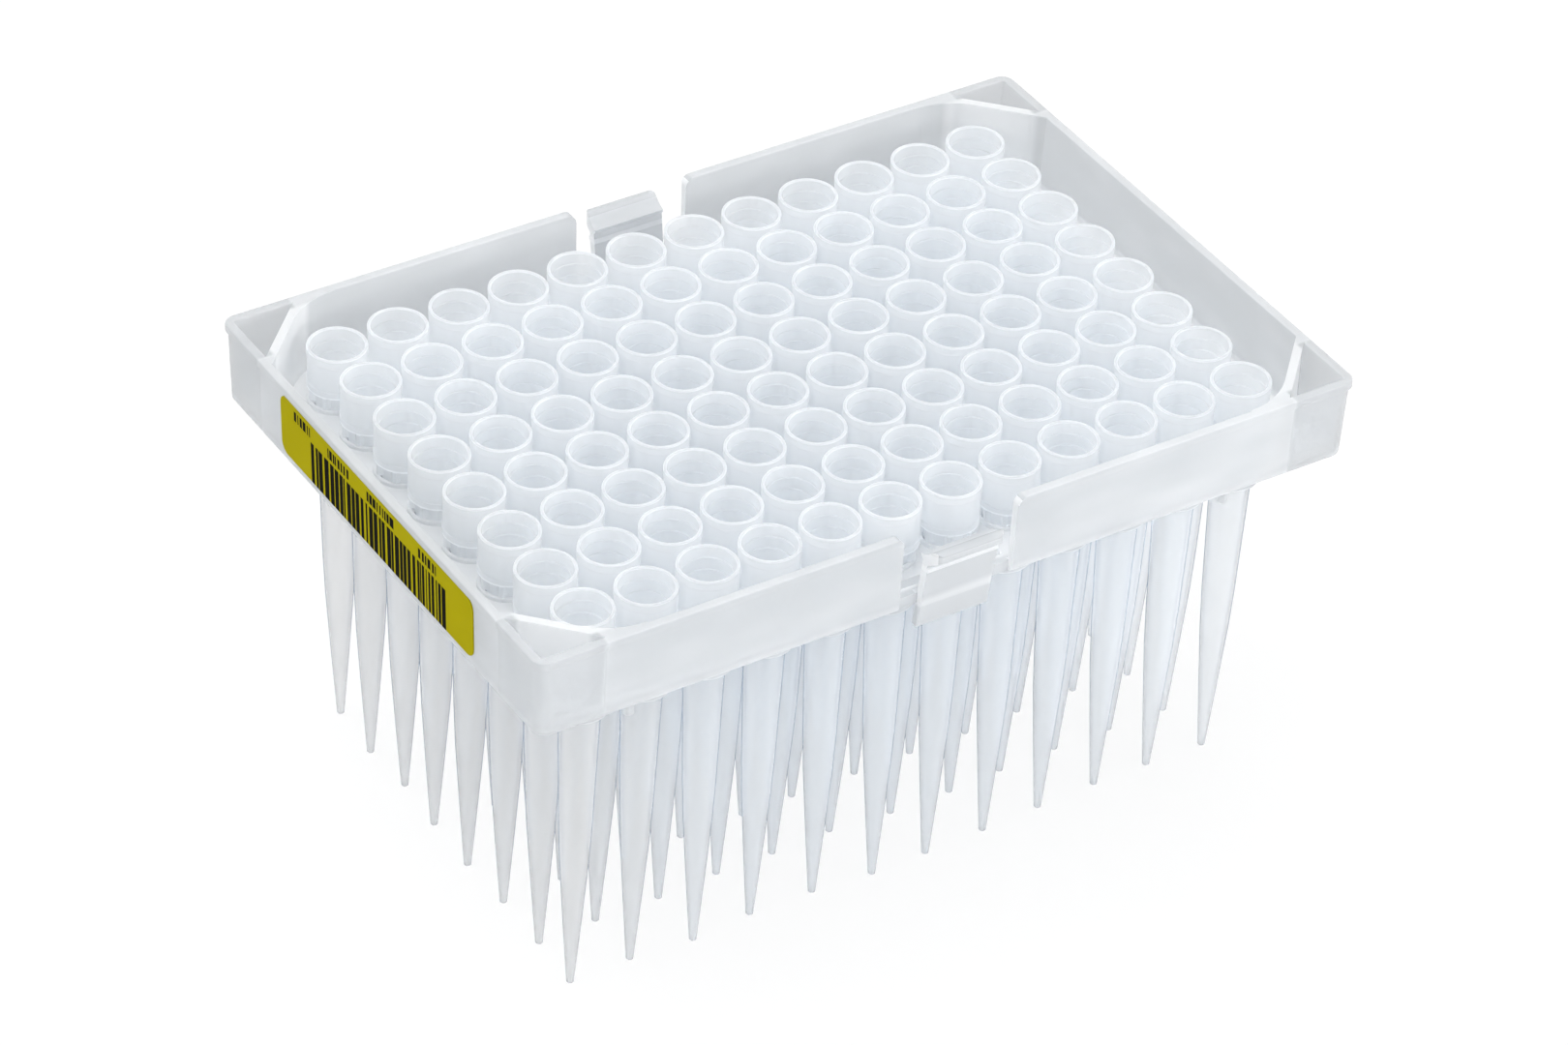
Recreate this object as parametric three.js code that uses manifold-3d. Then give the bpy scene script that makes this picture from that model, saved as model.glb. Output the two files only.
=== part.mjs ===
// Tray of pipette tips: a moulded tray with a deck of holes, a snap latch in each long
// wall and a code label on one short wall, filled with open conical tips at a 9 mm pitch.
// Millimetres, +Z up. X runs along the rows of twelve, Y across the rows of eight, and
// Z = 0 is the level of the tips' points, under the middle of the tray.

import * as THREE from 'three';
import { mergeVertices } from 'three/addons/utils/BufferGeometryUtils.js';
import Module from 'manifold-3d';

const wasm = await Module();
wasm.setup();

// ---- Driving dimensions ----

const PITCH = 9;
const COLUMNS = 12;
const ROW_LETTERS = 'abcdefgh';

// Tip, heights measured up from its point.
const TIP_LENGTH = 61.5;
const POINT_RADIUS = 0.48;
const BEND_HEIGHT = 27;
const BEND_RADIUS = 2.2;
const NECK_HEIGHT = 52.3;
const NECK_RADIUS = 2.95;
const HEAD_BASE_HEIGHT = TIP_LENGTH - 6.2;
const HEAD_RADIUS = 4.05;
const SOCKET_RADIUS = 3.65;
const SOCKET_FLOOR_HEIGHT = TIP_LENGTH - 6;
const SOCKET_FLOOR_RADIUS = 3.3;
const BORE_TOP_HEIGHT = 53;
const BORE_TOP_RADIUS = 2;
const BORE_POINT_RADIUS = 0.28;
const HEAD_SIDES = 7;
const CONE_SIDES = 6;
const POINT_SIDES = 4;

// Tray, outside sizes at the rim.
const TRAY_LENGTH = 122.4;
const TRAY_WIDTH = 82.6;
const TRAY_HEIGHT = 12.2;
const RIM_Z = TIP_LENGTH + 2;
const BASE_Z = RIM_Z - TRAY_HEIGHT;
const DECK_THICKNESS = 1.6;
const DECK_Z = BASE_Z + DECK_THICKNESS;
const WALL = 1.3;
const LIP_HEIGHT = 1.2;
const LIP_STEP = 0.25;
const DRAFT = 0.3 / TRAY_HEIGHT;
const CORNER_RADIUS = 1.8;
const BASE_CHAMFER = 0.8;
const HOLE_RADIUS = 3.4;
const FUSED_HOLE_RADIUS = 2.62;

// Straight walls that cut off the four corners, measured along each wall of the tray.
const CORNER_CUT_X = 8.7;
const CORNER_CUT_Y = 9;
const CORNER_WALL = 1.2;
const FLARE = 4.5;
const FLARE_BEND = 0.4;

// Slot and snap latch in the middle of each long wall.
const SLOT_WIDTH = 17;
const SLOT_DEPTH = 4.3;
const SLOT_CORNER = 1.6;
const LATCH_WIDTH = 10.6;
const LATCH_THICKNESS = 1.1;
const LATCH_TOP_Z = RIM_Z - 2.5;
const LATCH_BOTTOM_Z = BASE_Z - 3.8;
const LATCH_LEAN = 1.5;
const GRIP_INSET = 0.95;
const GRIP_BEAK = 0.35;
const GRIP_REACH = 3.5;
const GRIP_CREST = 0.85;
const GRIP_DIP = 1.55;
const GRIP_DEPTH = 2.6;
const GRIP_CORNER = 1.6;
const STRIP_WIDTH = 1.5;

// Ejector pins under the deck.
const PIN_RADIUS = 0.7;
const PIN_DROP = 5.1;
const PIN_X = 45;
const PIN_Y = 36;

// Label on the short wall at -X.
const LABEL_LENGTH = 50;
const LABEL_HEIGHT = 9.2;
const LABEL_THICKNESS = 0.15;
const LABEL_CORNER = 1.6;
const LABEL_MIDDLE_Z = BASE_Z + 6.3;
const LABEL_GLUE = 0.04;

// How far a cutter runs on past the faces that it cuts.
const CUT_MARGIN = 1;

// ---- Geometry helpers ----

const AXIS_X = new THREE.Vector3(1, 0, 0);
const AXIS_Y = new THREE.Vector3(0, 1, 0);
const AXIS_Z = new THREE.Vector3(0, 0, 1);

/** Turns a section drawn in Y and Z, and extruded, so that its depth runs along +X. */
const SECTION_ALONG_X = new THREE.Matrix4().makeBasis(AXIS_Y, AXIS_Z, AXIS_X);

function toSolid(geometry) {
  const bare = geometry.clone();
  bare.deleteAttribute('normal');
  bare.deleteAttribute('uv');
  const merged = mergeVertices(bare, 1e-4);
  return new wasm.Manifold(new wasm.Mesh({
    numProp: 3,
    vertProperties: new Float32Array(merged.attributes.position.array),
    triVerts: new Uint32Array(merged.index.array),
  }));
}

function toGeometry(solid) {
  const { vertProperties, triVerts } = solid.getMesh();
  const geometry = new THREE.BufferGeometry();
  geometry.setAttribute('position', new THREE.BufferAttribute(vertProperties, 3));
  geometry.setIndex(new THREE.BufferAttribute(triVerts, 1));
  geometry.computeVertexNormals();
  return geometry;
}

/** A level ring of corners whose mean reach is the radius of the circle that it stands for. */
function ring(radius, sides, z) {
  const reach = radius * (1 + 1 / Math.cos(Math.PI / sides)) / 2;
  return Array.from({ length: sides }, (_, k) => {
    const turn = 2 * Math.PI * k / sides;
    return new THREE.Vector3(reach * Math.cos(turn), reach * Math.sin(turn), z);
  });
}

/** Rounded-rectangle ring, with three points on each corner's arc. */
function frameRing(halfX, halfY, radius, z) {
  const quarter = Math.PI / 2;
  return [[1, 1], [-1, 1], [-1, -1], [1, -1]].flatMap(([signX, signY], corner) => (
    [0, 0.5, 1].map((share) => {
      const turn = quarter * (corner + share);
      const x = signX * (halfX - radius) + radius * Math.cos(turn);
      const y = signY * (halfY - radius) + radius * Math.sin(turn);
      return new THREE.Vector3(x, y, z);
    })
  ));
}

/** Joins two rings with triangles, whatever their numbers of corners. */
function stitch(faces, lower, upper) {
  let i = 0;
  let j = 0;
  while (i < lower.count || j < upper.count) {
    const a = lower.start + i % lower.count;
    const b = upper.start + j % upper.count;
    const lowerIsNext = (i + 1) / lower.count <= (j + 1) / upper.count;
    if (i < lower.count && (j === upper.count || lowerIsNext)) {
      i += 1;
      faces.push(a, lower.start + i % lower.count, b);
    } else {
      j += 1;
      faces.push(a, upper.start + j % upper.count, b);
    }
  }
}

/** Skin through rings in order: back to the first ring if looped, else capped at both ends. */
function loft(rings, looped) {
  const spans = [];
  let start = 0;
  for (const points of rings) {
    spans.push({ start, count: points.length });
    start += points.length;
  }
  const faces = [];
  for (let k = 1; k < spans.length; k += 1) stitch(faces, spans[k - 1], spans[k]);
  if (looped) {
    stitch(faces, spans.at(-1), spans[0]);
  } else {
    const first = spans[0];
    const last = spans.at(-1);
    for (let k = 1; k < first.count - 1; k += 1) {
      faces.push(first.start, first.start + k + 1, first.start + k);
    }
    for (let k = 1; k < last.count - 1; k += 1) {
      faces.push(last.start, last.start + k, last.start + k + 1);
    }
  }
  const geometry = new THREE.BufferGeometry().setFromPoints(rings.flat());
  geometry.setIndex(faces);
  geometry.computeVertexNormals();
  return geometry;
}

function prism(shape, depth, curveSegments = 1) {
  return new THREE.ExtrudeGeometry(shape, { depth, bevelEnabled: false, curveSegments });
}

function polygon(points) {
  return new THREE.Shape(points.map(([x, y]) => new THREE.Vector2(x, y)));
}

function block(sizeX, sizeY, sizeZ, x, y, z) {
  return new THREE.BoxGeometry(sizeX, sizeY, sizeZ).translate(x, y, z);
}

/** Half of a tray size at height z, outside the wall and under the lip. */
function outerHalf(size, z) {
  return size / 2 - LIP_STEP - DRAFT * (RIM_Z - z);
}

/** Half of the well's size at height z. */
function innerHalf(size, z) {
  return size / 2 - WALL - DRAFT * (RIM_Z - z);
}

// ---- Tips ----

/** Inside of a tip, from the rim of its socket down to its point. */
function boreRings() {
  return [
    ring(SOCKET_RADIUS, HEAD_SIDES, TIP_LENGTH),
    ring(SOCKET_FLOOR_RADIUS, HEAD_SIDES, SOCKET_FLOOR_HEIGHT),
    ring(BORE_TOP_RADIUS, POINT_SIDES, BORE_TOP_HEIGHT),
    ring(BORE_POINT_RADIUS, POINT_SIDES, 0),
  ];
}

/** A loose tip: open cone with a bend, neck, tapered shoulder and socket head. */
function tipGeometry() {
  return loft([
    ring(POINT_RADIUS, POINT_SIDES, 0),
    ring(BEND_RADIUS, CONE_SIDES, BEND_HEIGHT),
    ring(NECK_RADIUS, CONE_SIDES, NECK_HEIGHT),
    ring(HEAD_RADIUS, HEAD_SIDES, HEAD_BASE_HEIGHT),
    ring(HEAD_RADIUS, HEAD_SIDES, TIP_LENGTH),
    ...boreRings(),
  ], true);
}

/** A tip for the middle of the field, where its head is one with the deck. */
function fusedTipGeometry() {
  return loft([
    ring(POINT_RADIUS, POINT_SIDES, 0),
    ring(NECK_RADIUS, CONE_SIDES, BASE_Z),
    ring(HEAD_RADIUS, HEAD_SIDES, DECK_Z),
    ring(HEAD_RADIUS, HEAD_SIDES, TIP_LENGTH),
    ...boreRings(),
  ], true);
}

/** All places of the field; the ones two or more in from every edge are fused. */
function tipPlaces() {
  const places = [];
  for (let row = 0; row < ROW_LETTERS.length; row += 1) {
    for (let column = 0; column < COLUMNS; column += 1) {
      const middleRow = row >= 2 && row < ROW_LETTERS.length - 2;
      places.push({
        name: `tip_${ROW_LETTERS[row]}${column + 1}`,
        x: (column - (COLUMNS - 1) / 2) * PITCH,
        y: ((ROW_LETTERS.length - 1) / 2 - row) * PITCH,
        fused: middleRow && column >= 1 && column < COLUMNS - 1,
      });
    }
  }
  return places;
}

// ---- Tray ----

/** Outside of the tray as a full block: chamfered base, drafted walls and a rim lip. */
function trayBlock() {
  const lipZ = RIM_Z - LIP_HEIGHT;
  const chamferZ = BASE_Z + BASE_CHAMFER;
  const baseX = outerHalf(TRAY_LENGTH, BASE_Z) - BASE_CHAMFER;
  const baseY = outerHalf(TRAY_WIDTH, BASE_Z) - BASE_CHAMFER;
  const wallRing = (z) => (
    frameRing(outerHalf(TRAY_LENGTH, z), outerHalf(TRAY_WIDTH, z), CORNER_RADIUS, z)
  );
  return toSolid(loft([
    frameRing(baseX, baseY, CORNER_RADIUS - BASE_CHAMFER, BASE_Z),
    wallRing(chamferZ),
    wallRing(lipZ),
    frameRing(TRAY_LENGTH / 2, TRAY_WIDTH / 2, CORNER_RADIUS, lipZ),
    frameRing(TRAY_LENGTH / 2, TRAY_WIDTH / 2, CORNER_RADIUS, RIM_Z),
  ], false));
}

/** The open well above the deck, drawn on past the rim for a clean cut. */
function well() {
  const section = (z) => [[1, 1], [-1, 1], [-1, -1], [1, -1]].map(([signX, signY]) => (
    new THREE.Vector3(signX * innerHalf(TRAY_LENGTH, z), signY * innerHalf(TRAY_WIDTH, z), z)
  ));
  return toSolid(loft([section(DECK_Z), section(RIM_Z + CUT_MARGIN)], false));
}

/** Wall across the corner at +X +Y, flared where it runs into the long wall. */
function cornerWall() {
  const x = innerHalf(TRAY_LENGTH, RIM_Z);
  const y = innerHalf(TRAY_WIDTH, RIM_Z);
  const root = WALL / 2;
  const thickness = CORNER_WALL * Math.SQRT2;
  const plan = polygon([
    [x + root, y - CORNER_CUT_Y],
    [x, y - CORNER_CUT_Y],
    [x - CORNER_CUT_X, y],
    [x - CORNER_CUT_X, y + root],
    [x - CORNER_CUT_X - FLARE - thickness, y + root],
    [x - CORNER_CUT_X - FLARE - thickness, y],
    [x - CORNER_CUT_X - thickness * (1 - FLARE_BEND), y - thickness * FLARE_BEND],
    [x, y - CORNER_CUT_Y - thickness],
    [x + root, y - CORNER_CUT_Y - thickness],
  ]);
  const foot = (BASE_Z + DECK_Z) / 2;
  return prism(plan, RIM_Z - foot).translate(0, 0, foot);
}

/** The four corner walls, mirrored into place. */
function cornerWalls() {
  const wall = toSolid(cornerWall());
  const pair = wall.add(wall.mirror([1, 0, 0]));
  return pair.add(pair.mirror([0, 1, 0]));
}

/** Cut for a latch in the long wall at +Y, with rounded corners at the rim. */
function slotCut() {
  const half = SLOT_WIDTH / 2;
  const topX = half + SLOT_CORNER;
  const bendZ = RIM_Z - SLOT_CORNER;
  const section = new THREE.Shape();
  section.moveTo(-half, BASE_Z - CUT_MARGIN);
  section.lineTo(half, BASE_Z - CUT_MARGIN);
  section.lineTo(half, bendZ);
  section.absarc(topX, bendZ, SLOT_CORNER, Math.PI, Math.PI / 2, true);
  section.lineTo(topX, RIM_Z + CUT_MARGIN);
  section.lineTo(-topX, RIM_Z + CUT_MARGIN);
  section.absarc(-topX, bendZ, SLOT_CORNER, Math.PI / 2, 0, true);
  const depth = SLOT_DEPTH + CUT_MARGIN;
  const outer = TRAY_WIDTH / 2 + CUT_MARGIN;
  return toSolid(prism(section, depth).rotateX(Math.PI / 2).translate(0, outer, 0));
}

/**
 * Section of the latch at +Y, in Y and Z: a tongue that leans out to its top, under a grip
 * that dips behind a rounded crest and ends in a beak on the inner side.
 */
function latchSection() {
  const beakY = TRAY_WIDTH / 2 - GRIP_INSET;
  const tongueY = beakY + GRIP_BEAK;
  const crestY = beakY + GRIP_REACH - GRIP_CREST;
  const beakZ = LATCH_TOP_Z - GRIP_DIP;
  const section = new THREE.Shape();
  section.moveTo(tongueY - LATCH_LEAN, LATCH_BOTTOM_Z);
  section.lineTo(tongueY - LATCH_LEAN + LATCH_THICKNESS, LATCH_BOTTOM_Z);
  section.lineTo(tongueY + LATCH_THICKNESS, LATCH_TOP_Z - GRIP_DEPTH);
  section.absarc(crestY, LATCH_TOP_Z - GRIP_CREST, GRIP_CREST, -Math.PI / 3, Math.PI * 0.78);
  section.quadraticCurveTo(crestY - GRIP_DIP, beakZ + GRIP_BEAK / 2, beakY, beakZ);
  section.lineTo(beakY, beakZ - GRIP_BEAK);
  section.lineTo(tongueY, beakZ - GRIP_BEAK * 2);
  return section;
}

/** Snap latch at +Y, with the two outer corners of its grip rounded. */
function snapLatch() {
  const half = LATCH_WIDTH / 2;
  const bendX = half - GRIP_CORNER;
  const bendY = TRAY_WIDTH / 2 - GRIP_INSET + GRIP_REACH - GRIP_CORNER;
  const plan = new THREE.Shape();
  plan.moveTo(-half, 0);
  plan.lineTo(half, 0);
  plan.absarc(bendX, bendY, GRIP_CORNER, 0, Math.PI / 2);
  plan.absarc(-bendX, bendY, GRIP_CORNER, Math.PI / 2, Math.PI);
  const body = prism(latchSection(), LATCH_WIDTH, 3)
    .applyMatrix4(SECTION_ALONG_X)
    .translate(-half, 0, 0);
  return toSolid(body).intersect(toSolid(prism(plan, RIM_Z, 2)));
}

/** Strip along the foot of the slot that the tongue turns on, let into both of its sides. */
function torsionStrip() {
  const y = outerHalf(TRAY_WIDTH, BASE_Z) - BASE_CHAMFER - STRIP_WIDTH / 2;
  const z = (BASE_Z + DECK_Z) / 2;
  return toSolid(block(SLOT_WIDTH + CUT_MARGIN, STRIP_WIDTH, DECK_THICKNESS, 0, y, z));
}

/** Ejector pins that hang from the deck between the outermost tips. */
function pins() {
  const places = [[1, 1], [-1, 1], [-1, -1], [1, -1]];
  return places.map(([signX, signY]) => {
    const pin = loft([
      ring(PIN_RADIUS, CONE_SIDES, BASE_Z - PIN_DROP),
      ring(PIN_RADIUS, CONE_SIDES, BASE_Z + DECK_THICKNESS / 2),
    ], false);
    return toSolid(pin.translate(signX * PIN_X, signY * PIN_Y, 0));
  });
}

/** Six-sided drill through the deck. */
function hole(radius) {
  return toSolid(loft([
    ring(radius, CONE_SIDES, BASE_Z - CUT_MARGIN),
    ring(radius, CONE_SIDES, DECK_Z + CUT_MARGIN),
  ], false));
}

function moved(solid, { x, y }) {
  return solid.translate([x, y, 0]);
}

/** The whole moulding, with the middle tips fused to its deck. */
function trayGeometry(places) {
  const fused = places.filter((place) => place.fused);
  const holes = places.map((place) => (
    moved(hole(place.fused ? FUSED_HOLE_RADIUS : HOLE_RADIUS), place)
  ));
  const tips = fused.map((place) => moved(toSolid(fusedTipGeometry()), place));
  const slot = slotCut();
  const latch = snapLatch().add(torsionStrip());
  const shell = trayBlock().subtract(well()).add(cornerWalls());
  const slotted = shell.subtract(slot).subtract(slot.rotate([0, 0, 180]));
  const latched = slotted.add(latch).add(latch.rotate([0, 0, 180]));
  const drilled = latched.subtract(wasm.Manifold.union(holes));
  return toGeometry(wasm.Manifold.union([drilled, ...tips, ...pins()]));
}

// ---- Label ----

/** Thin rounded plate on the short wall, sheared to the wall's draft. */
function labelGeometry() {
  const x = LABEL_LENGTH / 2;
  const y = LABEL_HEIGHT / 2;
  const r = LABEL_CORNER;
  const outline = new THREE.Shape();
  outline.absarc(x - r, y - r, r, 0, Math.PI / 2);
  outline.absarc(-x + r, y - r, r, Math.PI / 2, Math.PI);
  outline.absarc(-x + r, -y + r, r, Math.PI, Math.PI * 1.5);
  outline.absarc(x - r, -y + r, r, Math.PI * 1.5, Math.PI * 2);
  const draft = new THREE.Matrix4().makeShear(0, 0, 0, 0, -DRAFT, 0);
  const wallX = -outerHalf(TRAY_LENGTH, LABEL_MIDDLE_Z);
  return prism(outline, LABEL_THICKNESS)
    .applyMatrix4(SECTION_ALONG_X)
    .applyMatrix4(draft)
    .translate(wallX - LABEL_GLUE - LABEL_THICKNESS, 0, LABEL_MIDDLE_Z);
}

// ---- Assembly ----

const clearPlastic = new THREE.MeshStandardMaterial({
  color: 0xdfe6ea, roughness: 0.25, metalness: 0, transparent: true, opacity: 0.55,
});
const trayPlastic = new THREE.MeshStandardMaterial({
  color: 0xcfd8dd, roughness: 0.35, metalness: 0, transparent: true, opacity: 0.6,
});
const yellowPaper = new THREE.MeshStandardMaterial({
  color: 0xc9bc12, roughness: 0.6, metalness: 0,
});

function named(name, geometry, material) {
  const mesh = new THREE.Mesh(geometry, material);
  mesh.name = name;
  return mesh;
}

const tipTray = new THREE.Group();
const places = tipPlaces();
tipTray.add(named('tip_tray', trayGeometry(places), trayPlastic));
tipTray.add(named('code_label', labelGeometry(), yellowPaper));

const looseTip = tipGeometry();
for (const place of places.filter(({ fused }) => !fused)) {
  const tip = named(place.name, looseTip, clearPlastic);
  tip.position.set(place.x, place.y, 0);
  tipTray.add(tip);
}

export default tipTray;
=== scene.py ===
"""A tray of pipette tips: ninety-six clear tips, the moulded tray that holds them and its label.

Lengths in the classes are millimetres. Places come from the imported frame: X runs along the
rows of twelve, Y across the rows of eight, and Z = 0 is the level of the tips' points.
"""

import logging
import math
from dataclasses import dataclass
from enum import Enum
from typing import Any, Callable, Optional, Union

import bmesh
import bpy
from mathutils import Matrix, Vector


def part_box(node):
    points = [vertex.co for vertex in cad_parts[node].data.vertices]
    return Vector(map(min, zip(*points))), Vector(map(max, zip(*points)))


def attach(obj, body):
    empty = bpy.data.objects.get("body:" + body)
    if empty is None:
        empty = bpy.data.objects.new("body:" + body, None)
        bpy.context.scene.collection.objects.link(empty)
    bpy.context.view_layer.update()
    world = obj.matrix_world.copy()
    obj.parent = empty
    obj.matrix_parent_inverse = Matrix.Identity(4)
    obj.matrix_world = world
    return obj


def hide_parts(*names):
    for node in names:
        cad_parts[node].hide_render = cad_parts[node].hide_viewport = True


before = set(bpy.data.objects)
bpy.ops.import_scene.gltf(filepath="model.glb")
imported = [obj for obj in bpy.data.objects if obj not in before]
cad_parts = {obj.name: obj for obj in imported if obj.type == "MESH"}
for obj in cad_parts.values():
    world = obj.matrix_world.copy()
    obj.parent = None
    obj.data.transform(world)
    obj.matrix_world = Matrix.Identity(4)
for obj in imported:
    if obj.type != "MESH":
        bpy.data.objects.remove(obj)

# Metres in a millimetre, and millimetres in a metre.
MM = 0.001
TO_MM = 1 / MM
TAU = 2 * math.pi
ROW_LETTERS = "abcdefgh"
# Signs of the four quarters of a plan, anticlockwise from +X +Y.
QUARTERS = ((1, 1), (-1, 1), (-1, -1), (1, -1))
# Millimetres: where a turned shape's ends are merged, and the least radius of a ring's corner.
SEAM = 0.001
LEAST_RADIUS = 0.12
LOG = logging.getLogger("tip_tray")

Pair = tuple[float, float]
Colour = tuple[float, float, float, float]
WHITE: Colour = (1.0, 1.0, 1.0, 1.0)


class Slot(Enum):
    """Names of material slots for the part; nothing in this script uses them."""

    TRAY = "tray_plastic"
    TIP = "tip_plastic"
    LABEL = "label_paper"


# ---- Node trees ----


def operator(operation: str, swapped: bool = False) -> Callable[["Term", Any], "Term"]:
    """One of Python's operators, which adds a Math node.

    Args:
        operation: The Math node's operation.
        swapped: Whether the other operand comes first.

    Returns:
        The operator, for the class of terms.
    """

    def apply(term: "Term", other: Any) -> "Term":
        """Adds the node for this term and the other operand."""
        return term.maths(operation, *((other, term) if swapped else (term, other)))

    return apply


class Term:
    """A value that a node gives, with Python's arithmetic on it."""

    def __init__(self, wiring: "Wiring", socket: bpy.types.NodeSocket) -> None:
        """Keeps the socket and the wiring that new Math nodes go into."""
        self.wiring = wiring
        self.socket = socket

    def maths(self, operation: str, *operands: Any) -> "Term":
        """Adds one Math node.

        Args:
            operation: The node's operation, such as "SINE".
            operands: Its operands in order, as terms or numbers.

        Returns:
            The node's result.
        """
        values = dict(enumerate(operands))
        return self.wiring.add("ShaderNodeMath", {"operation": operation}, values)[0]

    __add__ = __radd__ = operator("ADD")
    __sub__ = operator("SUBTRACT")
    __rsub__ = operator("SUBTRACT", swapped=True)
    __mul__ = __rmul__ = operator("MULTIPLY")
    __truediv__ = operator("DIVIDE")
    __rtruediv__ = operator("DIVIDE", swapped=True)
    __mod__ = operator("FLOORED_MODULO")
    __rmod__ = operator("FLOORED_MODULO", swapped=True)
    __lt__ = operator("LESS_THAN")
    __gt__ = operator("GREATER_THAN")

    def floor(self) -> "Term":
        """This value rounded down."""
        return self.maths("FLOOR", self)

    def sine(self) -> "Term":
        """Sine of this value in radians."""
        return self.maths("SINE", self)

    def cosine(self) -> "Term":
        """Cosine of this value in radians."""
        return self.maths("COSINE", self)

    def magnitude(self) -> "Term":
        """This value without its sign."""
        return self.maths("ABSOLUTE", self)

    def maximum(self, other: Any) -> "Term":
        """The higher of this value and another."""
        return self.maths("MAXIMUM", self, other)


class Placed:
    """A node that has been added, whose outputs are read as terms."""

    def __init__(self, wiring: "Wiring", node: bpy.types.Node) -> None:
        """Keeps the node and the wiring that it belongs to."""
        self.wiring = wiring
        self.node = node

    def __getitem__(self, key: Union[int, str]) -> Term:
        """The output of that name or number."""
        return Term(self.wiring, self.node.outputs[key])


class Wiring:
    """Adds and links the nodes of one tree, for geometry and for shading alike."""

    def __init__(self, tree: bpy.types.NodeTree) -> None:
        """Keeps the tree that the nodes go into."""
        self.tree = tree

    def feed(self, socket: bpy.types.NodeSocket, value: Any) -> None:
        """Links a term to a socket, or sets a plain value on it."""
        if isinstance(value, Term):
            self.tree.links.new(value.socket, socket)
        else:
            socket.default_value = value

    def add(
        self,
        kind: str,
        settings: Optional[dict[str, Any]] = None,
        values: Optional[dict[Union[int, str], Any]] = None,
    ) -> Placed:
        """Adds one node.

        Args:
            kind: The node's type.
            settings: Its own settings, set first, such as an operation.
            values: Links or values of its sockets, by name or number; a list feeds one
                socket that takes several links.

        Returns:
            The added node.
        """
        node = self.tree.nodes.new(kind)
        for name, setting in (settings or {}).items():
            setattr(node, name, setting)
        for key, value in (values or {}).items():
            for one in value if isinstance(value, list) else [value]:
                self.feed(node.inputs[key], one)
        return Placed(self, node)

    def ramp(self, value: Any, low: float, high: float) -> Term:
        """Eases from 0 at low to 1 at high."""
        return self.add("ShaderNodeMapRange", {"interpolation_type": "SMOOTHSTEP"}, {
            "Value": value, "From Min": low, "From Max": high,
        })[0]

    def ease(self, value: Any, steps: Pair, level: float = 0.0) -> Term:
        """Eases from 0 to 1 between two steps, which are counted from a level."""
        return self.ramp(value, level + steps[0], level + steps[1])


class ShapeTree(Wiring):
    """A Geometry Nodes tree with named inputs, which passes one geometry on."""

    def __init__(self, name: str, inputs: dict[str, str]) -> None:
        """Makes the tree.

        Args:
            name: The tree's name.
            inputs: Each input's name and its kind of socket, such as "Float".
        """
        super().__init__(bpy.data.node_groups.new(name, "GeometryNodeTree"))
        face = self.tree.interface
        face.new_socket("Geometry", in_out="INPUT", socket_type="NodeSocketGeometry")
        for label, kind in inputs.items():
            face.new_socket(label, in_out="INPUT", socket_type=f"NodeSocket{kind}")
        face.new_socket("Geometry", in_out="OUTPUT", socket_type="NodeSocketGeometry")
        self.given = self.add("NodeGroupInput")

    def close(self, geometry: Term) -> bpy.types.NodeTree:
        """Sends the geometry out and gives the finished tree back."""
        self.add("NodeGroupOutput", values={0: geometry})
        return self.tree

    def finish(self, geometry: Term, crease: float = 32.0) -> bpy.types.NodeTree:
        """Shades the geometry smooth up to the crease angle and gives it its finish.

        Args:
            geometry: What the tree has built.
            crease: Edges sharper than this many degrees stay sharp.

        Returns:
            The finished tree, which needs an input named Finish.
        """
        bend = self.add("GeometryNodeInputMeshEdgeAngle")["Unsigned Angle"]
        faces = self.add("GeometryNodeSetShadeSmooth", {"domain": "FACE"}, {"Geometry": geometry})
        edges = self.add("GeometryNodeSetShadeSmooth", {"domain": "EDGE"}, {
            "Geometry": faces[0],
            "Shade Smooth": bend < math.radians(crease),
        })
        real = self.add("GeometryNodeRealizeInstances", values={"Geometry": edges[0]})
        dressed = self.add("GeometryNodeSetMaterial", values={
            "Geometry": real[0],
            "Material": self.given["Finish"],
        })
        return self.close(dressed[0])


def give(obj: bpy.types.Object, tree: bpy.types.NodeTree, values: dict[str, Any]) -> None:
    """Puts a Geometry Nodes tree on an object.

    Args:
        obj: The object that carries the tree.
        tree: The tree.
        values: The tree's inputs by name; they are set by identifier.
    """
    modifier = obj.modifiers.new(tree.name, "NODES")
    modifier.node_group = tree
    for item in tree.interface.items_tree:
        if item.item_type == "SOCKET" and item.in_out == "INPUT" and item.name in values:
            modifier[item.identifier] = values[item.name]


# ---- Plain meshes ----


def new_object(name: str, mesh: bpy.types.Mesh) -> bpy.types.Object:
    """Links a mesh into the scene under one name.

    Args:
        name: Name of the object and of its mesh.
        mesh: The mesh.

    Returns:
        The object.
    """
    mesh.name = name
    obj = bpy.data.objects.new(name, mesh)
    bpy.context.scene.collection.objects.link(obj)
    return obj


def drop(*objects: bpy.types.Object) -> None:
    """Takes helper objects and their meshes out of the scene.

    Args:
        objects: The helpers.
    """
    for obj in objects:
        mesh = obj.data
        bpy.data.objects.remove(obj)
        bpy.data.meshes.remove(mesh)


def settled(*sources: bpy.types.Object) -> list[bpy.types.Object]:
    """Turns objects with live trees into plain meshes of the same names.

    Args:
        sources: Objects whose modifiers build their shape.

    Returns:
        New objects with plain meshes; the sources are gone.
    """
    graph = bpy.context.evaluated_depsgraph_get()
    meshes = [bpy.data.meshes.new_from_object(one.evaluated_get(graph)) for one in sources]
    names = [one.name for one in sources]
    drop(*sources)
    return [new_object(name, mesh) for name, mesh in zip(names, meshes)]


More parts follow.
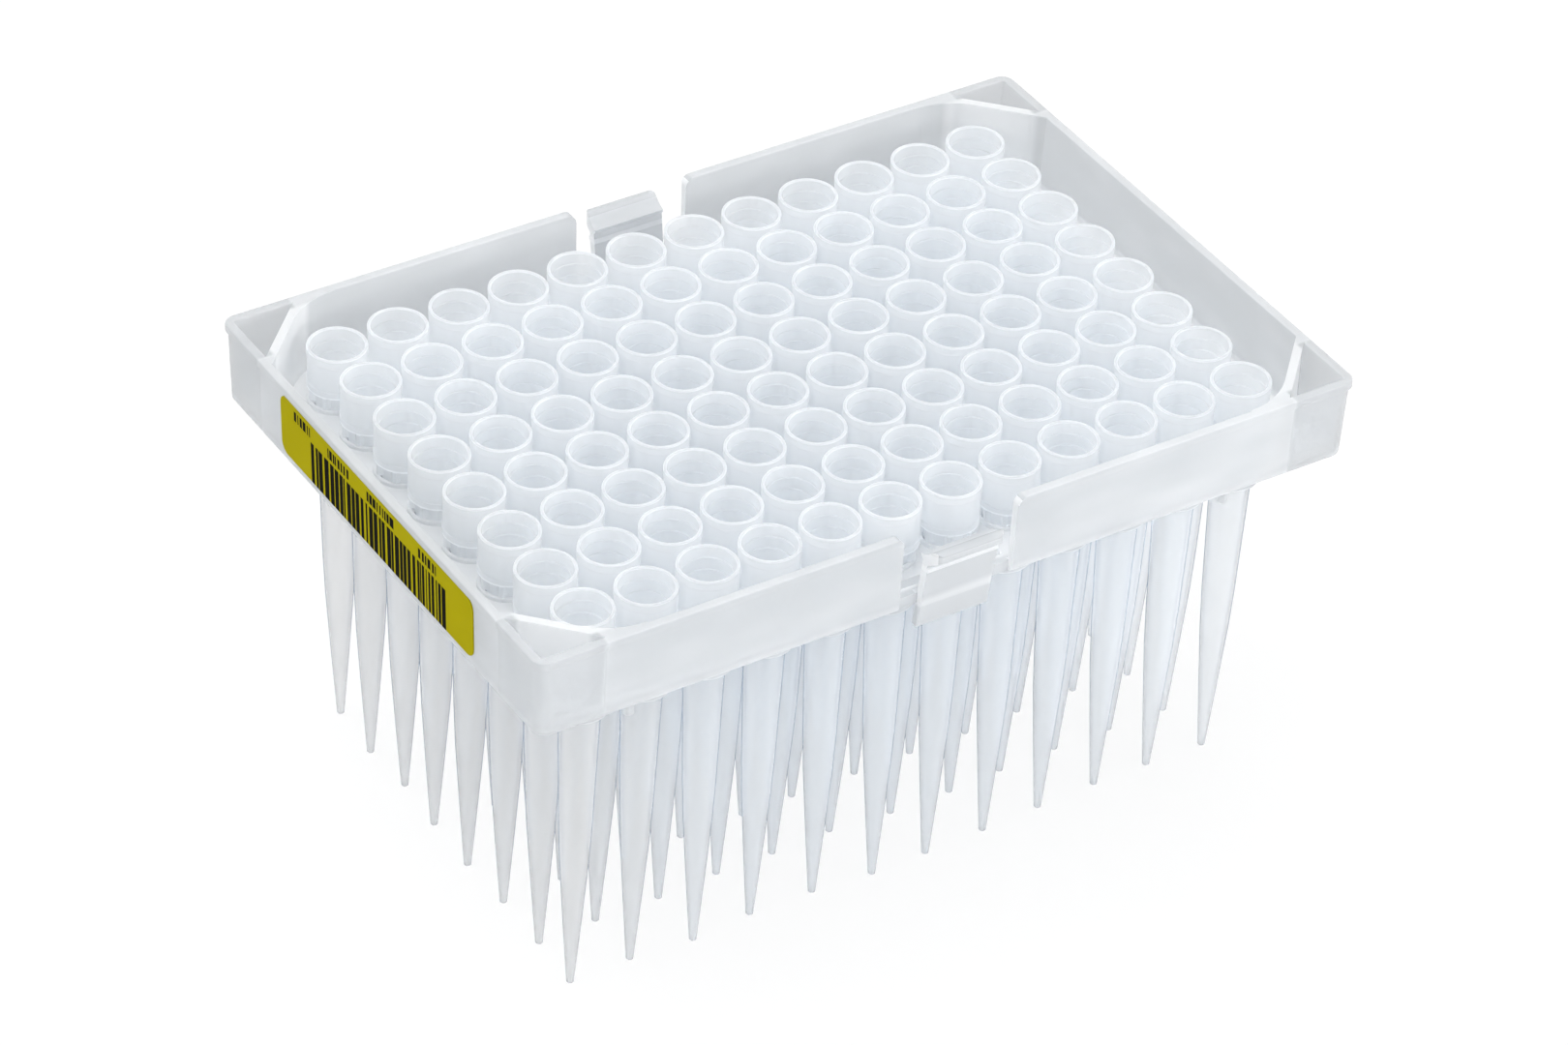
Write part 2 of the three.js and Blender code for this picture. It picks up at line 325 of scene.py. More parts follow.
def profile_object(name: str, points: list[Pair]) -> bpy.types.Object:
    """A chain of vertices, each with its radius in X and its height in Z.

    Args:
        name: The object's name.
        points: Radius and height of each point in order, in millimetres.

    Returns:
        The chain as an object.
    """
    mesh = bpy.data.meshes.new(name)
    corners = [(radius * MM, 0.0, height * MM) for radius, height in points]
    edges = [(k, k + 1) for k in range(len(corners) - 1)]
    mesh.from_pydata(corners, edges, [])
    return new_object(name, mesh)


def loft_object(name: str, rings: list[list[Vector]]) -> bpy.types.Object:
    """A closed solid through level rings of equal counts, from the lowest to the highest.

    Args:
        name: The object's name.
        rings: Rings of points in millimetres, each anticlockwise from above.

    Returns:
        The solid as an object.
    """
    count = len(rings[0])
    faces = [tuple(reversed(range(count)))]
    for level in range(len(rings) - 1):
        low = level * count
        for k in range(count):
            after = (k + 1) % count
            faces.append((low + k, low + after, low + count + after, low + count + k))
    top = (len(rings) - 1) * count
    faces.append(tuple(range(top, top + count)))
    mesh = bpy.data.meshes.new(name)
    mesh.from_pydata([tuple(point * MM) for ring in rings for point in ring], [], faces)
    return new_object(name, mesh)


def prism_object(name: str, outline: list[Pair], low: float, high: float) -> bpy.types.Object:
    """An upright solid over a plan outline, in millimetres, anticlockwise from above."""
    return loft_object(name, [[Vector((x, y, z)) for x, y in outline] for z in (low, high)])


def turned(obj: bpy.types.Object, matrix: Matrix) -> bpy.types.Object:
    """Moves an object's mesh itself, and keeps its faces pointing outwards.

    Args:
        obj: The object, which stays where it is.
        matrix: How its mesh is moved.

    Returns:
        The same object.
    """
    obj.data.transform(matrix)
    if matrix.determinant() < 0:
        obj.data.flip_normals()
    return obj


def copied(obj: bpy.types.Object, matrix: Matrix) -> bpy.types.Object:
    """A moved copy of an object, with a mesh of its own."""
    return turned(new_object(f"{obj.name}_copy", obj.data.copy()), matrix)


def arc(middle: Pair, radius: float, start: float, end: float, steps: int) -> list[Pair]:
    """Points on an arc.

    Args:
        middle: The arc's centre.
        radius: Its radius.
        start: Angle of the first point, in degrees.
        end: Angle of the last point, in degrees.
        steps: Number of equal steps from the first to the last.

    Returns:
        steps + 1 points.
    """
    turns = [math.radians(start + (end - start) * k / steps) for k in range(steps + 1)]
    return [(middle[0] + radius * math.cos(t), middle[1] + radius * math.sin(t)) for t in turns]


def bezier(bends: list[Pair], steps: int) -> list[Pair]:
    """Points on a curve that starts and ends at the outer bends and leans to the middle one.

    Args:
        bends: Start, bend and end.
        steps: How many points follow the first.

    Returns:
        The points after the start.
    """
    start, bend, end = (Vector(point) for point in bends)
    shares = [step / steps for step in range(1, steps + 1)]
    return [tuple(start.lerp(bend, at).lerp(bend.lerp(end, at), at)) for at in shares]


def frame_ring(half_x: float, half_y: float, radius: float, z: float) -> list[Vector]:
    """A level rounded rectangle about the Z axis, anticlockwise from its +X side.

    Args:
        half_x: Half of its size along X.
        half_y: Half of its size along Y.
        radius: Radius of its corners.
        z: Its height.

    Returns:
        The ring's points.
    """
    points: list[Pair] = []
    for quarter, (sign_x, sign_y) in enumerate(QUARTERS):
        middle = (sign_x * (half_x - radius), sign_y * (half_y - radius))
        points += arc(middle, radius, 90 * quarter, 90 * quarter + 90, 6)
    return [Vector((x, y, z)) for x, y in points]


# ---- Finishes ----


class ShadeTree(Wiring):
    """The node tree of one material, cleared and ready for its shader."""

    def __init__(self, name: str) -> None:
        """Makes the material and reads its Object coordinates.

        Args:
            name: The material's name.
        """
        self.material = bpy.data.materials.new(name)
        self.material.use_nodes = True
        super().__init__(self.material.node_tree)
        self.tree.nodes.clear()
        self.place = self.add("ShaderNodeTexCoord")["Object"]
        self.axes = self.add("ShaderNodeSeparateXYZ", values={0: self.place})

    def cloud(self, scale: float, detail: float = 2.0, stretch: Vector = Vector((1, 1, 1))) -> Term:
        """Noise of about so many lumps per metre.

        Args:
            scale: Lumps per metre.
            detail: How many finer layers it has.
            stretch: Factor on each axis before the noise is read.

        Returns:
            A value about 0.5, from 0 to 1.
        """
        spread = self.add("ShaderNodeMapping", values={"Vector": self.place, "Scale": stretch})
        return self.add("ShaderNodeTexNoise", values={
            "Vector": spread[0], "Scale": scale, "Detail": detail,
        })["Fac"]

    def blend(self, share: Any, first: Any, second: Any) -> Term:
        """A mix of two colours.

        Args:
            share: How much of the second colour shows, from 0 to 1.
            first: The colour at 0.
            second: The colour at 1.

        Returns:
            The mixed colour.
        """
        return self.add("ShaderNodeMix", {"data_type": "RGBA"}, {
            "Factor": share, 6: first, 7: second,
        })[2]

    def bump(self, height: Any, distance: float, strength: float) -> Term:
        """A normal from a height.

        Args:
            height: Height from 0 to 1.
            distance: What 1 stands for, in millimetres.
            strength: How strongly it shows.

        Returns:
            The bent normal.
        """
        return self.add("ShaderNodeBump", values={
            "Height": height, "Distance": distance * MM, "Strength": strength,
        })["Normal"]

    def mix(self, share: Any, first: Term, second: Term) -> Term:
        """One shader where the share is 0, another where it is 1."""
        return self.add("ShaderNodeMixShader", values={0: share, 1: first, 2: second})[0]

    def show(self, shader: Term) -> bpy.types.Material:
        """Sends the shader to the output and gives the material back."""
        self.add("ShaderNodeOutputMaterial", values={"Surface": shader})
        return self.material


def grey_blue(level: float, blue: float = 0.0) -> Colour:
    """A pale neutral, pushed towards blue by the given share."""
    return (level * (1 - blue), level * (1 - blue * 0.5), level, 1.0)


@dataclass(frozen=True)
class ClearPlastic:
    """Natural polypropylene: milky, a little see-through, brighter where it is thick.

    A pair of numbers in it and in its kinds says where a change starts and is complete.
    """

    name: str
    body: Colour
    bright: Colour
    through: float
    roughness: float
    lumps: float
    streaks: Vector
    light_through: float
    streak_depth: float = 0.05
    shade_depth: float = 0.4
    rough_depth: float = 0.12
    ior: float = 1.49
    edge_shade_share: float = 0.0
    edge_turn: Pair = (0.42, 0.66)
    edge_blend: float = 0.25
    edge_shade_tint: Colour = (0.6, 0.68, 0.77, 1.0)

    def shader(
        self, tree: ShadeTree, bright: Any, thick: Any, keen: Any = 1.0
    ) -> bpy.types.Material:
        """Builds the plastic's shader.

        Args:
            tree: The tree that it goes into.
            bright: How far the colour goes from the body's to the bright one, 0 to 1.
            thick: 0 on a thin wall, 1 where the plastic is too thick to see through.
            keen: Share of painted dark shade on its edges, 0 where they are as milky as the rest.

        Returns:
            The material.
        """
        mottle = tree.cloud(self.lumps, 0.0, self.streaks) - 0.5
        colour = tree.blend(bright + mottle * self.shade_depth, self.body, self.bright)
        cover = 1 - (1 - thick) * self.through + mottle * self.streak_depth
        gloss = tree.add("ShaderNodeBsdfPrincipled", values={
            "Base Color": colour,
            "Roughness": self.roughness + mottle * self.rough_depth,
            "IOR": self.ior,
            "Alpha": cover,
        })
        passing = tree.add("ShaderNodeBsdfTranslucent", values={"Color": colour})
        clear = tree.add("ShaderNodeBsdfTransparent")
        milky = tree.mix(cover, clear[0], passing[0])
        body = tree.mix(self.light_through, gloss[0], milky)
        if self.edge_shade_share == 0:
            return tree.show(body)
        # Painted shade: glancing faces turn see-through with a dark tint, darkening the
        # silhouettes.
        facing = tree.add("ShaderNodeLayerWeight", values={"Blend": self.edge_blend})["Facing"]
        edge = tree.ease(facing, self.edge_turn) * self.edge_shade_share * keen
        clear_edge_shade = tree.add("ShaderNodeBsdfTransparent", values={"Color": self.edge_shade_tint})
        return tree.show(tree.mix(edge, body, clear_edge_shade[0]))


@dataclass(frozen=True)
class TipPlastic(ClearPlastic):
    """The tips' plastic: milkier head, whitest at rim and foot; painted shade greys the -X cones.
    """

    head_from: Pair = (51.3, 52.9)
    head_white: float = 0.4
    rim_from: Pair = (61.22, 61.4)
    rim_white: float = 0.4
    foot: float = 55.35
    foot_half: Pair = (0.1, 0.35)
    foot_white: float = 0.2
    painted_shade_end: Pair = (-50.0, -25.0)

    def material(self) -> bpy.types.Material:
        """Builds the material.

        Returns:
            The material.
        """
        tree = ShadeTree(self.name)
        height = tree.axes["Z"] * TO_MM
        head = tree.ease(height, self.head_from)
        rim = tree.ease(height, self.rim_from)
        foot = 1 - tree.ease((height - self.foot).magnitude(), self.foot_half)
        # Painted shade: the tips' colour greys towards the -X end, the side turned from the light.
        side = tree.ease(tree.axes["X"] * TO_MM, self.painted_shade_end)
        thick = head * self.head_white + rim * self.rim_white + foot * self.foot_white
        return self.shader(tree, head + side, thick, 1 - head)


@dataclass(frozen=True)
class TrayPlastic(ClearPlastic):
    """The tray's plastic: whiter foot; painted light on rim, corner walls and among the tips."""

    rim: float = 63.5
    rim_steps: Pair = (-0.25, -0.05)
    rim_white: float = 0.22
    rim_corner_loss: float = 0.7
    base: float = 51.3
    foot_steps: Pair = (0.3, 1.8)
    foot_white: float = 0.35
    below_steps: Pair = (-0.6, 0.0)
    below_clear: float = 0.3
    below_painted_shade: float = 0.5
    deck: float = 52.9
    deck_steps: Pair = (0.0, 1.2)
    margin_x: Pair = (48.5, 51.0)
    margin_painted_shade: float = 0.25
    outside_x: float = 60.0
    outside_y: float = 40.2
    wall_x: float = 59.0
    wall_y: float = 39.0
    well_steps: Pair = (-0.5, 0.3)
    corner_reach: Pair = (88.4, 89.4)
    corner_painted_shade: float = 0.15
    joint_x: float = 51.5
    joint_y: float = 31.0
    joint_half: Pair = (0.2, 0.5)
    joint_white: float = 0.03
    cell_steps: Pair = (-0.3, 0.3)
    cell_clear: float = 0.36
    painted_light_x: Pair = (0.0, 40.0)
    painted_light_white: float = 0.22
    sleeve_foot: float = 46.0
    lip_steps: Pair = (0.1, 0.35)
    lip_white: float = 0.3
    slot_half: float = 10.0
    slot_y: float = 38.0
    latch_half: float = 5.6
    latch_y: float = 39.2
    latch_drop: float = 3.0
    latch_white: float = 0.5
    flat: float = 0.7
    cut_painted_glow: float = 0.8
    bead: float = 57.5
    bead_half: Pair = (0.25, 0.5)
    bead_painted_highlight: float = 0.5

    def material(self) -> bpy.types.Material:
        """Builds the material.

        Returns:
            The material.
        """
        tree = ShadeTree(self.name)
        x = tree.axes["X"].magnitude() * TO_MM
        y = tree.axes["Y"].magnitude() * TO_MM
        z = tree.axes["Z"] * TO_MM
        inside_x = 1 - tree.ease(x, self.well_steps, self.wall_x)
        # Painted light: the inside of the well is whiter, for the light that glows through tips and
        # deck.
        inside = inside_x * (1 - tree.ease(y, self.well_steps, self.wall_y))
        # Painted shade: greyer towards the corners, on the corner walls and the rim above them.
        corner = tree.ease(x + y, self.corner_reach) * inside
        # Painted shade: the deck next to the short walls is greyer, where they shade it.
        margin = tree.ease(x, self.margin_x) * (1 - tree.ease(z, self.deck_steps, self.deck))
        # Painted shade: what hangs below the underside is greyer; inside the walls it is also
        # clearer.
        below = 1 - tree.ease(z, self.below_steps, self.base)
        tongue = (x < self.latch_half) * (y > self.latch_y) * (z < self.rim - self.latch_drop)
        front = (tree.axes["Y"] < -self.wall_y * MM) * (x < self.joint_x)
        # Painted light: the front wall whitens towards +X, as if lit from close by on that side.
        painted_light = tree.ease(tree.axes["X"] * TO_MM, self.painted_light_x) * front
        cell_x = tree.ease(x, self.cell_steps, self.joint_x)
        cell = cell_x * tree.ease(y, self.cell_steps, self.joint_y) * (1 - inside)
        # The rim is more solid and whiter: partly the wall seen end-on, partly a painted highlight;
        # less at corners.
        rim = tree.ease(z, self.rim_steps, self.rim) * (1 - corner * self.rim_corner_loss)
        # The sleeves' feet whiten the same way: partly end-on plastic, partly painted light along
        # their ends.
        lip = 1 - tree.ease(z, self.lip_steps, self.sleeve_foot)
        # Painted highlight: a white line along each latch's bead.
        bead = tongue * (1 - tree.ease((z - self.bead).magnitude(), self.bead_half))
        # How solid the plastic is: real thickness, plus painted light on rim, feet, cut ends and
        # bead.
        solid = (
            rim * self.rim_white + lip * self.lip_white
            - below * (y < self.wall_y) * self.below_clear
            + self._cuts(tree, x, y) * self.cut_painted_glow + bead * self.bead_painted_highlight
            + self._outside(tree, x, y, z) - cell * self.cell_clear
        )
        bright = (
            solid + inside - corner * self.corner_painted_shade - margin * self.margin_painted_shade
            - below * self.below_painted_shade + painted_light * self.painted_light_white
        )
        return self.shader(tree, bright, solid + tongue * self.latch_white)

    def _cuts(self, tree: ShadeTree, x: Term, y: Term) -> Term:
        """Where the slots' ends and the latches' soles are, which get a painted glow.

        Args:
            tree: The material's tree.
            x: Distance from the middle along X, in millimetres.
            y: Distance from the middle along Y, in millimetres.

        Returns:
            1 on those faces, else 0.
        """
        normal = tree.add("ShaderNodeTexCoord")["Normal"]
        faces = tree.add("ShaderNodeSeparateXYZ", values={0: normal})
        ends = (faces["X"].magnitude() > self.flat) * (x < self.slot_half) * (y > self.slot_y)
        soles = (faces["Z"] < -self.flat) * (x < self.latch_half) * (y > self.wall_y)
        return ends + soles

    def _outside(self, tree: ShadeTree, x: Term, y: Term, z: Term) -> Term:
        """How much whiter the outside is along its foot and where the cells meet it.

        Args:
            tree: The material's tree.
            x: Distance from the middle along X, in millimetres.
            y: Distance from the middle along Y, in millimetres.
            z: Height in millimetres.

        Returns:
            What is added to the thickness.
        """
        outside = (x > self.outside_x) + (y > self.outside_y) > 0.5
        foot = 1 - tree.ease(z, self.foot_steps, self.base)
        joint_x = 1 - tree.ease((x - self.joint_x).magnitude(), self.joint_half)
        joint_y = 1 - tree.ease((y - self.joint_y).magnitude(), self.joint_half)
        joints = joint_x * (y > self.wall_y) + joint_y * (x > self.wall_x)
        return (foot * self.foot_white + joints * self.joint_white) * outside


@dataclass(frozen=True)
class PrintedPaper:
    """A coated paper with a fine tooth."""

    name: str
    colour: Colour
    shade: Colour
    roughness: float
    rough_depth: float = 0.2
    gloss: float = 0.01
    blotches: float = 160
    teeth: float = 5200
    tooth_height: float = 0.01

    def material(self) -> bpy.types.Material:
        """Builds the material.

        Returns:
            The material.
        """
        tree = ShadeTree(self.name)
        blotch = tree.cloud(self.blotches, 3.0)
        tooth = tree.cloud(self.teeth, 2.0)
        return tree.show(tree.add("ShaderNodeBsdfPrincipled", values={
            "Base Color": tree.blend(blotch, self.colour, self.shade),
            "Roughness": self.roughness + (tooth - 0.5) * self.rough_depth,
            "Specular IOR Level": self.gloss,
            "Normal": tree.bump(tooth, self.tooth_height, 0.5),
        })[0])


# ---- Places from the frame ----


@dataclass(frozen=True)
class Field:
    """The grid of places that the tips stand in, read from the corner tips' boxes."""

    columns: int
    rows: int
    pitch: float
    first: Vector
    tip_length: float

    @classmethod
    def from_frame(cls) -> "Field":
        """Reads the grid from the loose tips of the first row.

        Returns:
            The grid.
        """
        columns = sum(name.startswith("tip_a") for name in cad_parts)
        low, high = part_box("tip_a1")
        first, last = (sum(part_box(f"tip_a{k}"), Vector()) / 2 / MM for k in (1, columns))
        return cls(
            columns=columns,
            rows=len(ROW_LETTERS),
            pitch=(last.x - first.x) / (columns - 1),
            first=Vector((first.x, first.y, 0)),
            tip_length=(high.z - low.z) / MM,
        )

    def names(self) -> list[str]:
        """Names of the places, row by row."""
        return [f"{letter}{k + 1}" for letter in ROW_LETTERS for k in range(self.columns)]


# ---- Turned shapes ----


def lathe_tree() -> bpy.types.NodeTree:
    """The tree that turns a chain of radii and heights round the Z axis.

    Returns:
        A tree with the input Sides; its geometry is the chain.
    """
    tree = ShapeTree("lathe", {"Sides": "Int"})
    chain = tree.given["Geometry"]
    sides = tree.given["Sides"]
    count = tree.add("GeometryNodeAttributeDomainSize", values={"Geometry": chain})["Point Count"]
    grid = tree.add("GeometryNodeMeshGrid", values={
        "Vertices X": sides + 1, "Vertices Y": count,
    })["Mesh"]
    index = tree.add("GeometryNodeInputIndex")[0]
    position = tree.add("GeometryNodeInputPosition")[0]
    point = tree.add("GeometryNodeSampleIndex", {"data_type": "FLOAT_VECTOR"}, {
        "Geometry": chain, "Value": position, "Index": index % count,
    })[0]
    reach = tree.add("ShaderNodeSeparateXYZ", values={0: point})
    angle = (index / count).floor() * TAU / sides
    place = tree.add("ShaderNodeCombineXYZ", values={
        "X": reach["X"] * angle.cosine(), "Y": reach["X"] * angle.sine(), "Z": reach["Z"],
    })[0]
    skin = tree.add("GeometryNodeSetPosition", values={"Geometry": grid, "Position": place})[0]
    closed = tree.add("GeometryNodeMergeByDistance", values={
        "Geometry": skin, "Distance": SEAM * MM,
    })[0]
    return tree.close(closed)


@dataclass
class Tips:
    """The ninety-six tips: an open cone with a bend, a ribbed shoulder and a socket head."""

    places: Field
    finish: bpy.types.Material
    lathe: bpy.types.NodeTree
    sides: int = 48
    point: tuple[Pair, ...] = ((0.36, 0.0), (0.45, 0.02), (0.48, 0.08), (0.6, 1.6))
    point_bore: tuple[Pair, ...] = ((0.84, 10.7), (0.28, 0.1), (0.3, 0.02))
    cone: tuple[Pair, ...] = ((1.25, 10.7), (1.925, 20.8), (2.2, 27.0), (2.6, 41.0), (2.9, 51.0))
    wall: float = 0.45
    neck_radius: float = 2.95
    neck_bore: float = 2.46
    neck_height: float = 52.3
    rib_base: float = 53.46
    rib_reach: float = 3.85
    rib_share: float = 0.3
    ribs: int = 8
    shoulder_radii: tuple[float, ...] = (3.16, 3.17, 3.42)
    head_radius: float = 4.05
    head_height: float = 6.2
    skirt: tuple[Pair, ...] = (
        (-0.55, 0.0), (-0.1, 0.0), (-0.02, 0.05), (0.0, 0.16), (0.0, 1.0), (-0.07, 1.1),
    )
    collar: tuple[Pair, ...] = (
        (-0.07, 1.35), (0.0, 1.25), (0.0, 0.14), (-0.04, 0.04), (-0.12, 0.0),
    )
    socket_radius: float = 3.5
    socket: tuple[Pair, ...] = (
        (0.2, 0.0), (0.15, 0.03), (0.0, 0.45), (-0.03, 1.5), (-0.09, 1.6), (-0.25, 1.65),
        (-0.3, 1.75), (-0.33, 3.1), (-0.38, 3.2), (-0.53, 3.25), (-0.58, 3.35), (-0.66, 5.4),
        (-0.72, 5.9), (-0.9, 6.3),
    )
    lean: float = 0.55
    seed: int = 7

    def profile(self) -> list[Pair]:
        """The tip's wall, from its point up the outside and back down the inside.

        The skirt's steps count from the head's radius and its foot, the collar's and the
        socket's from a radius and down from the top.

        Returns:
            Radius and height of each point.
        """
        top = self.places.tip_length
        base = top - self.head_height
        levels = (self.rib_base - 0.04, self.rib_base, base - 0.02)
        return [
            *self.point, *self.cone, (self.neck_radius, self.neck_height),
            *zip(self.shoulder_radii, levels),
            *((self.head_radius + out, base + up) for out, up in self.skirt),
            *((self.head_radius + out, top - down) for out, down in self.collar),
            *((self.socket_radius + out, top - down) for out, down in self.socket),
            (self.neck_bore, self.neck_height),
            *((radius - self.wall, z) for radius, z in reversed(self.cone[1:])),
            *self.point_bore, self.point[0],
        ]

    def tree(self) -> bpy.types.NodeTree:
        """The tree that turns the wall, raises the ribs and stands the tip in its place.

        Returns:
            The tree.
        """
        tree = ShapeTree("ribbed_tip", {
            "Sides": "Int", "Ribs": "Int", "Rib Base": "Float", "Rib Top": "Float",
            "Rib Root": "Float", "Rib Reach": "Float", "Rib Share": "Float", "Columns": "Int",
            "Pitch": "Float", "First": "Vector", "Seat": "Float", "Lean": "Float",
            "Seed": "Int", "Tip": "Int", "Finish": "Material",
        })
        given = tree.given
        wall = tree.add("GeometryNodeGroup", {"node_tree": self.lathe}, {
            "Geometry": given["Geometry"], "Sides": given["Sides"],
        })[0]
        ribbed = self._ribs(tree, wall)
        tip = given["Tip"]
        columns = given["Columns"]
        shift = tree.add("ShaderNodeCombineXYZ", values={
            "X": (tip % columns) * given["Pitch"],
            "Y": 0 - (tip / columns).floor() * given["Pitch"],
            "Z": given["Seat"],
        })[0]
        place = tree.add("ShaderNodeVectorMath", {"operation": "ADD"}, {
            0: given["First"], 1: shift,
        })[0]
        lean = given["Lean"]
        tilt = tree.add("FunctionNodeRandomValue", {"data_type": "FLOAT_VECTOR"}, {
            "Min": tree.add("ShaderNodeCombineXYZ", values={"X": 0 - lean, "Y": 0 - lean})[0],
            "Max": tree.add("ShaderNodeCombineXYZ", values={"X": lean, "Y": lean, "Z": TAU})[0],
            "ID": tip, "Seed": given["Seed"],
        })[0]
        drop_to_seat = tree.add("ShaderNodeCombineXYZ", values={"Z": 0 - given["Seat"]})[0]
        seated = tree.add("GeometryNodeTransform", values={
            "Geometry": ribbed, "Translation": drop_to_seat,
        })[0]
        stood = tree.add("GeometryNodeTransform", values={
            "Geometry": seated, "Translation": place, "Rotation": tilt,
        })[0]
        return tree.finish(stood)

    @staticmethod
    def _ribs(tree: ShapeTree, wall: Term) -> Term:
        """Pulls equal strips of the shoulder out into upright ribs.

        Args:
            tree: The tips' tree.
            wall: The turned wall.

        Returns:
            The wall with its ribs.
        """
        given = tree.given
        position = tree.add("GeometryNodeInputPosition")[0]
        axes = tree.add("ShaderNodeSeparateXYZ", values={0: position})
        x, y, z = axes["X"], axes["Y"], axes["Z"]
        reach = x.maths("SQRT", x * x + y * y)
        turn = y.maths("ARCTAN2", y, x) + math.pi / given["Sides"]
        strip = (turn * given["Ribs"] / TAU) % 1.0 < given["Rib Share"]
        level = (z > given["Rib Base"]) * (z < given["Rib Top"]) * (reach > given["Rib Root"])
        grown = given["Rib Reach"] / reach
        place = tree.add("ShaderNodeCombineXYZ", values={
            "X": x * grown, "Y": y * grown, "Z": z,
        })[0]
        return tree.add("GeometryNodeSetPosition", values={
            "Geometry": wall, "Selection": strip * level, "Position": place,
        })[0]

    def build(self) -> list[bpy.types.Object]:
        """Makes each tip as a piece of its own and dresses it.

        Returns:
            The ninety-six tips, row by row.
        """
        tree = self.tree()
        base = self.places.tip_length - self.head_height
        profile = profile_object("tip_profile", self.profile())
        sources = []
        for number, name in enumerate(self.places.names()):
            source = new_object(f"clear_tip_{name}", profile.data.copy())
            give(source, tree, {
                "Sides": self.sides, "Ribs": self.ribs, "Rib Share": self.rib_share,
                "Rib Base": (self.rib_base - 0.01) * MM, "Rib Top": (base - 0.01) * MM,
                "Rib Root": self.neck_radius * MM, "Rib Reach": self.rib_reach * MM,
                "Columns": self.places.columns, "Pitch": self.places.pitch * MM,
                "First": self.places.first * MM, "Seat": self.rib_base * MM,
                "Lean": math.radians(self.lean), "Seed": self.seed, "Tip": number,
                "Finish": self.finish,
            })
            sources.append(source)
        drop(profile)
        tips = settled(*sources)
        for tip, name in zip(tips, self.places.names()):
            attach(tip, "root")
            if f"tip_{name}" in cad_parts:
                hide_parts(f"tip_{name}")
        LOG.info("tips: %d pieces of %d faces", len(tips), len(tips[0].data.polygons))
        return tips


# ---- Tray ----


@dataclass
class Latch:
    """Snap latch of a long wall: a leaning tongue under a curled finger grip."""

    outer: float
    rim: float
    base: float
    deck: float
    slot_width: float
    width: float = 10.6
    thickness: float = 1.1
    drop: float = 3.8
    lean: float = 1.5
    foot_ease: float = 0.15
    neck: float = 2.6
    beak_inset: float = 0.95
    beak_top: float = 1.55
    beak_foot: float = 1.9
    throat: Pair = (0.35, 2.3)
    top_drop: float = 2.5
    grip_reach: float = 3.49
    grip_corner: float = 1.6
    crest_radius: float = 0.84
    crest_drop: float = 0.85
    curl_start: Pair = (0.647, 0.315)
    curl_bend: Pair = (1.55, 1.37)
    bead_drop: float = 3.5
    bead: tuple[Pair, ...] = ((0.0, -0.4), (0.24, -0.27), (0.34, 0.0), (0.24, 0.27), (0.0, 0.4))
    strip_width: float = 1.5
    strip_inset: float = 1.35
    strip_hold: float = 0.5
    trim_depth: float = 8.0
    trim_under: float = 10.0
    trim_above: float = 2.0

    @property
    def beak(self) -> float:
        """How far out the grip's inner edge stands."""
        return self.outer - self.beak_inset

    def section(self) -> list[Pair]:
        """Outline of tongue and grip in Y and Z, anticlockwise seen from +X.

        Returns:
            The outline's points.
        """
        beak = self.beak
        top = self.rim - self.top_drop
        neck = top - self.neck
        foot_z = self.base - self.drop
        tongue_y = beak + self.throat[0]
        back_y = tongue_y + self.thickness
        foot_y = back_y - self.lean
        toe_y = foot_y - self.thickness
        crest = (beak + self.grip_reach - self.crest_radius, top - self.crest_drop)
        curl = [
            (crest[0] - self.curl_start[0], top - self.curl_start[1]),
            (crest[0] - self.curl_bend[0], top - self.curl_bend[1]),
            (beak, top - self.beak_top),
        ]
        rise = (self.bead_drop - self.neck) / (neck - foot_z)
        bead_y = back_y + rise * (foot_y - back_y)
        return [
            (toe_y, foot_z + self.foot_ease), (toe_y + self.foot_ease, foot_z),
            (foot_y - self.foot_ease, foot_z), (foot_y, foot_z + self.foot_ease),
            *((bead_y + out, top - self.bead_drop + up) for out, up in self.bead),
            (back_y, neck), *arc(crest, self.crest_radius, -60, 140, 12), *bezier(curl, 6),
            (beak, top - self.beak_foot), (tongue_y, top - self.throat[1]),
        ]

    def pieces(self) -> list[bpy.types.Object]:
        """The latch of the +Y wall as closed solids.

        Returns:
            Its body and its torsion strip.
        """
        half = self.width / 2
        outline = self.section()
        along_x = [[Vector((y, z, x)) for y, z in outline] for x in (-half, half)]
        body = loft_object("latch_body", along_x)
        turned(body, Matrix(((0, 0, 1, 0), (1, 0, 0, 0), (0, 1, 0, 0), (0, 0, 0, 1))))
        half = self.slot_width / 2 + self.strip_hold
        outer = self.outer - self.strip_inset
        inner = outer - self.strip_width
        plan = [(-half, inner), (half, inner), (half, outer), (-half, outer)]
        return [body, prism_object("latch_strip", plan, self.base, self.deck)]

    def trim(self) -> bpy.types.Object:
        """Plan that the body is cut to, rounded at the grip's two outer corners.

        Returns:
            The plan as an upright solid, taller than the latch.
        """
        half = self.width / 2
        inner = self.outer - self.trim_depth
        bend_x = half - self.grip_corner
        bend_y = self.beak + self.grip_reach - self.grip_corner
        outline = [
            (-half, inner), (half, inner),
            *arc((bend_x, bend_y), self.grip_corner, 0, 90, 6),
            *arc((-bend_x, bend_y), self.grip_corner, 90, 180, 6),
        ]
        low, high = self.base - self.trim_under, self.rim + self.trim_above
        return prism_object("latch_trim", outline, low, high)


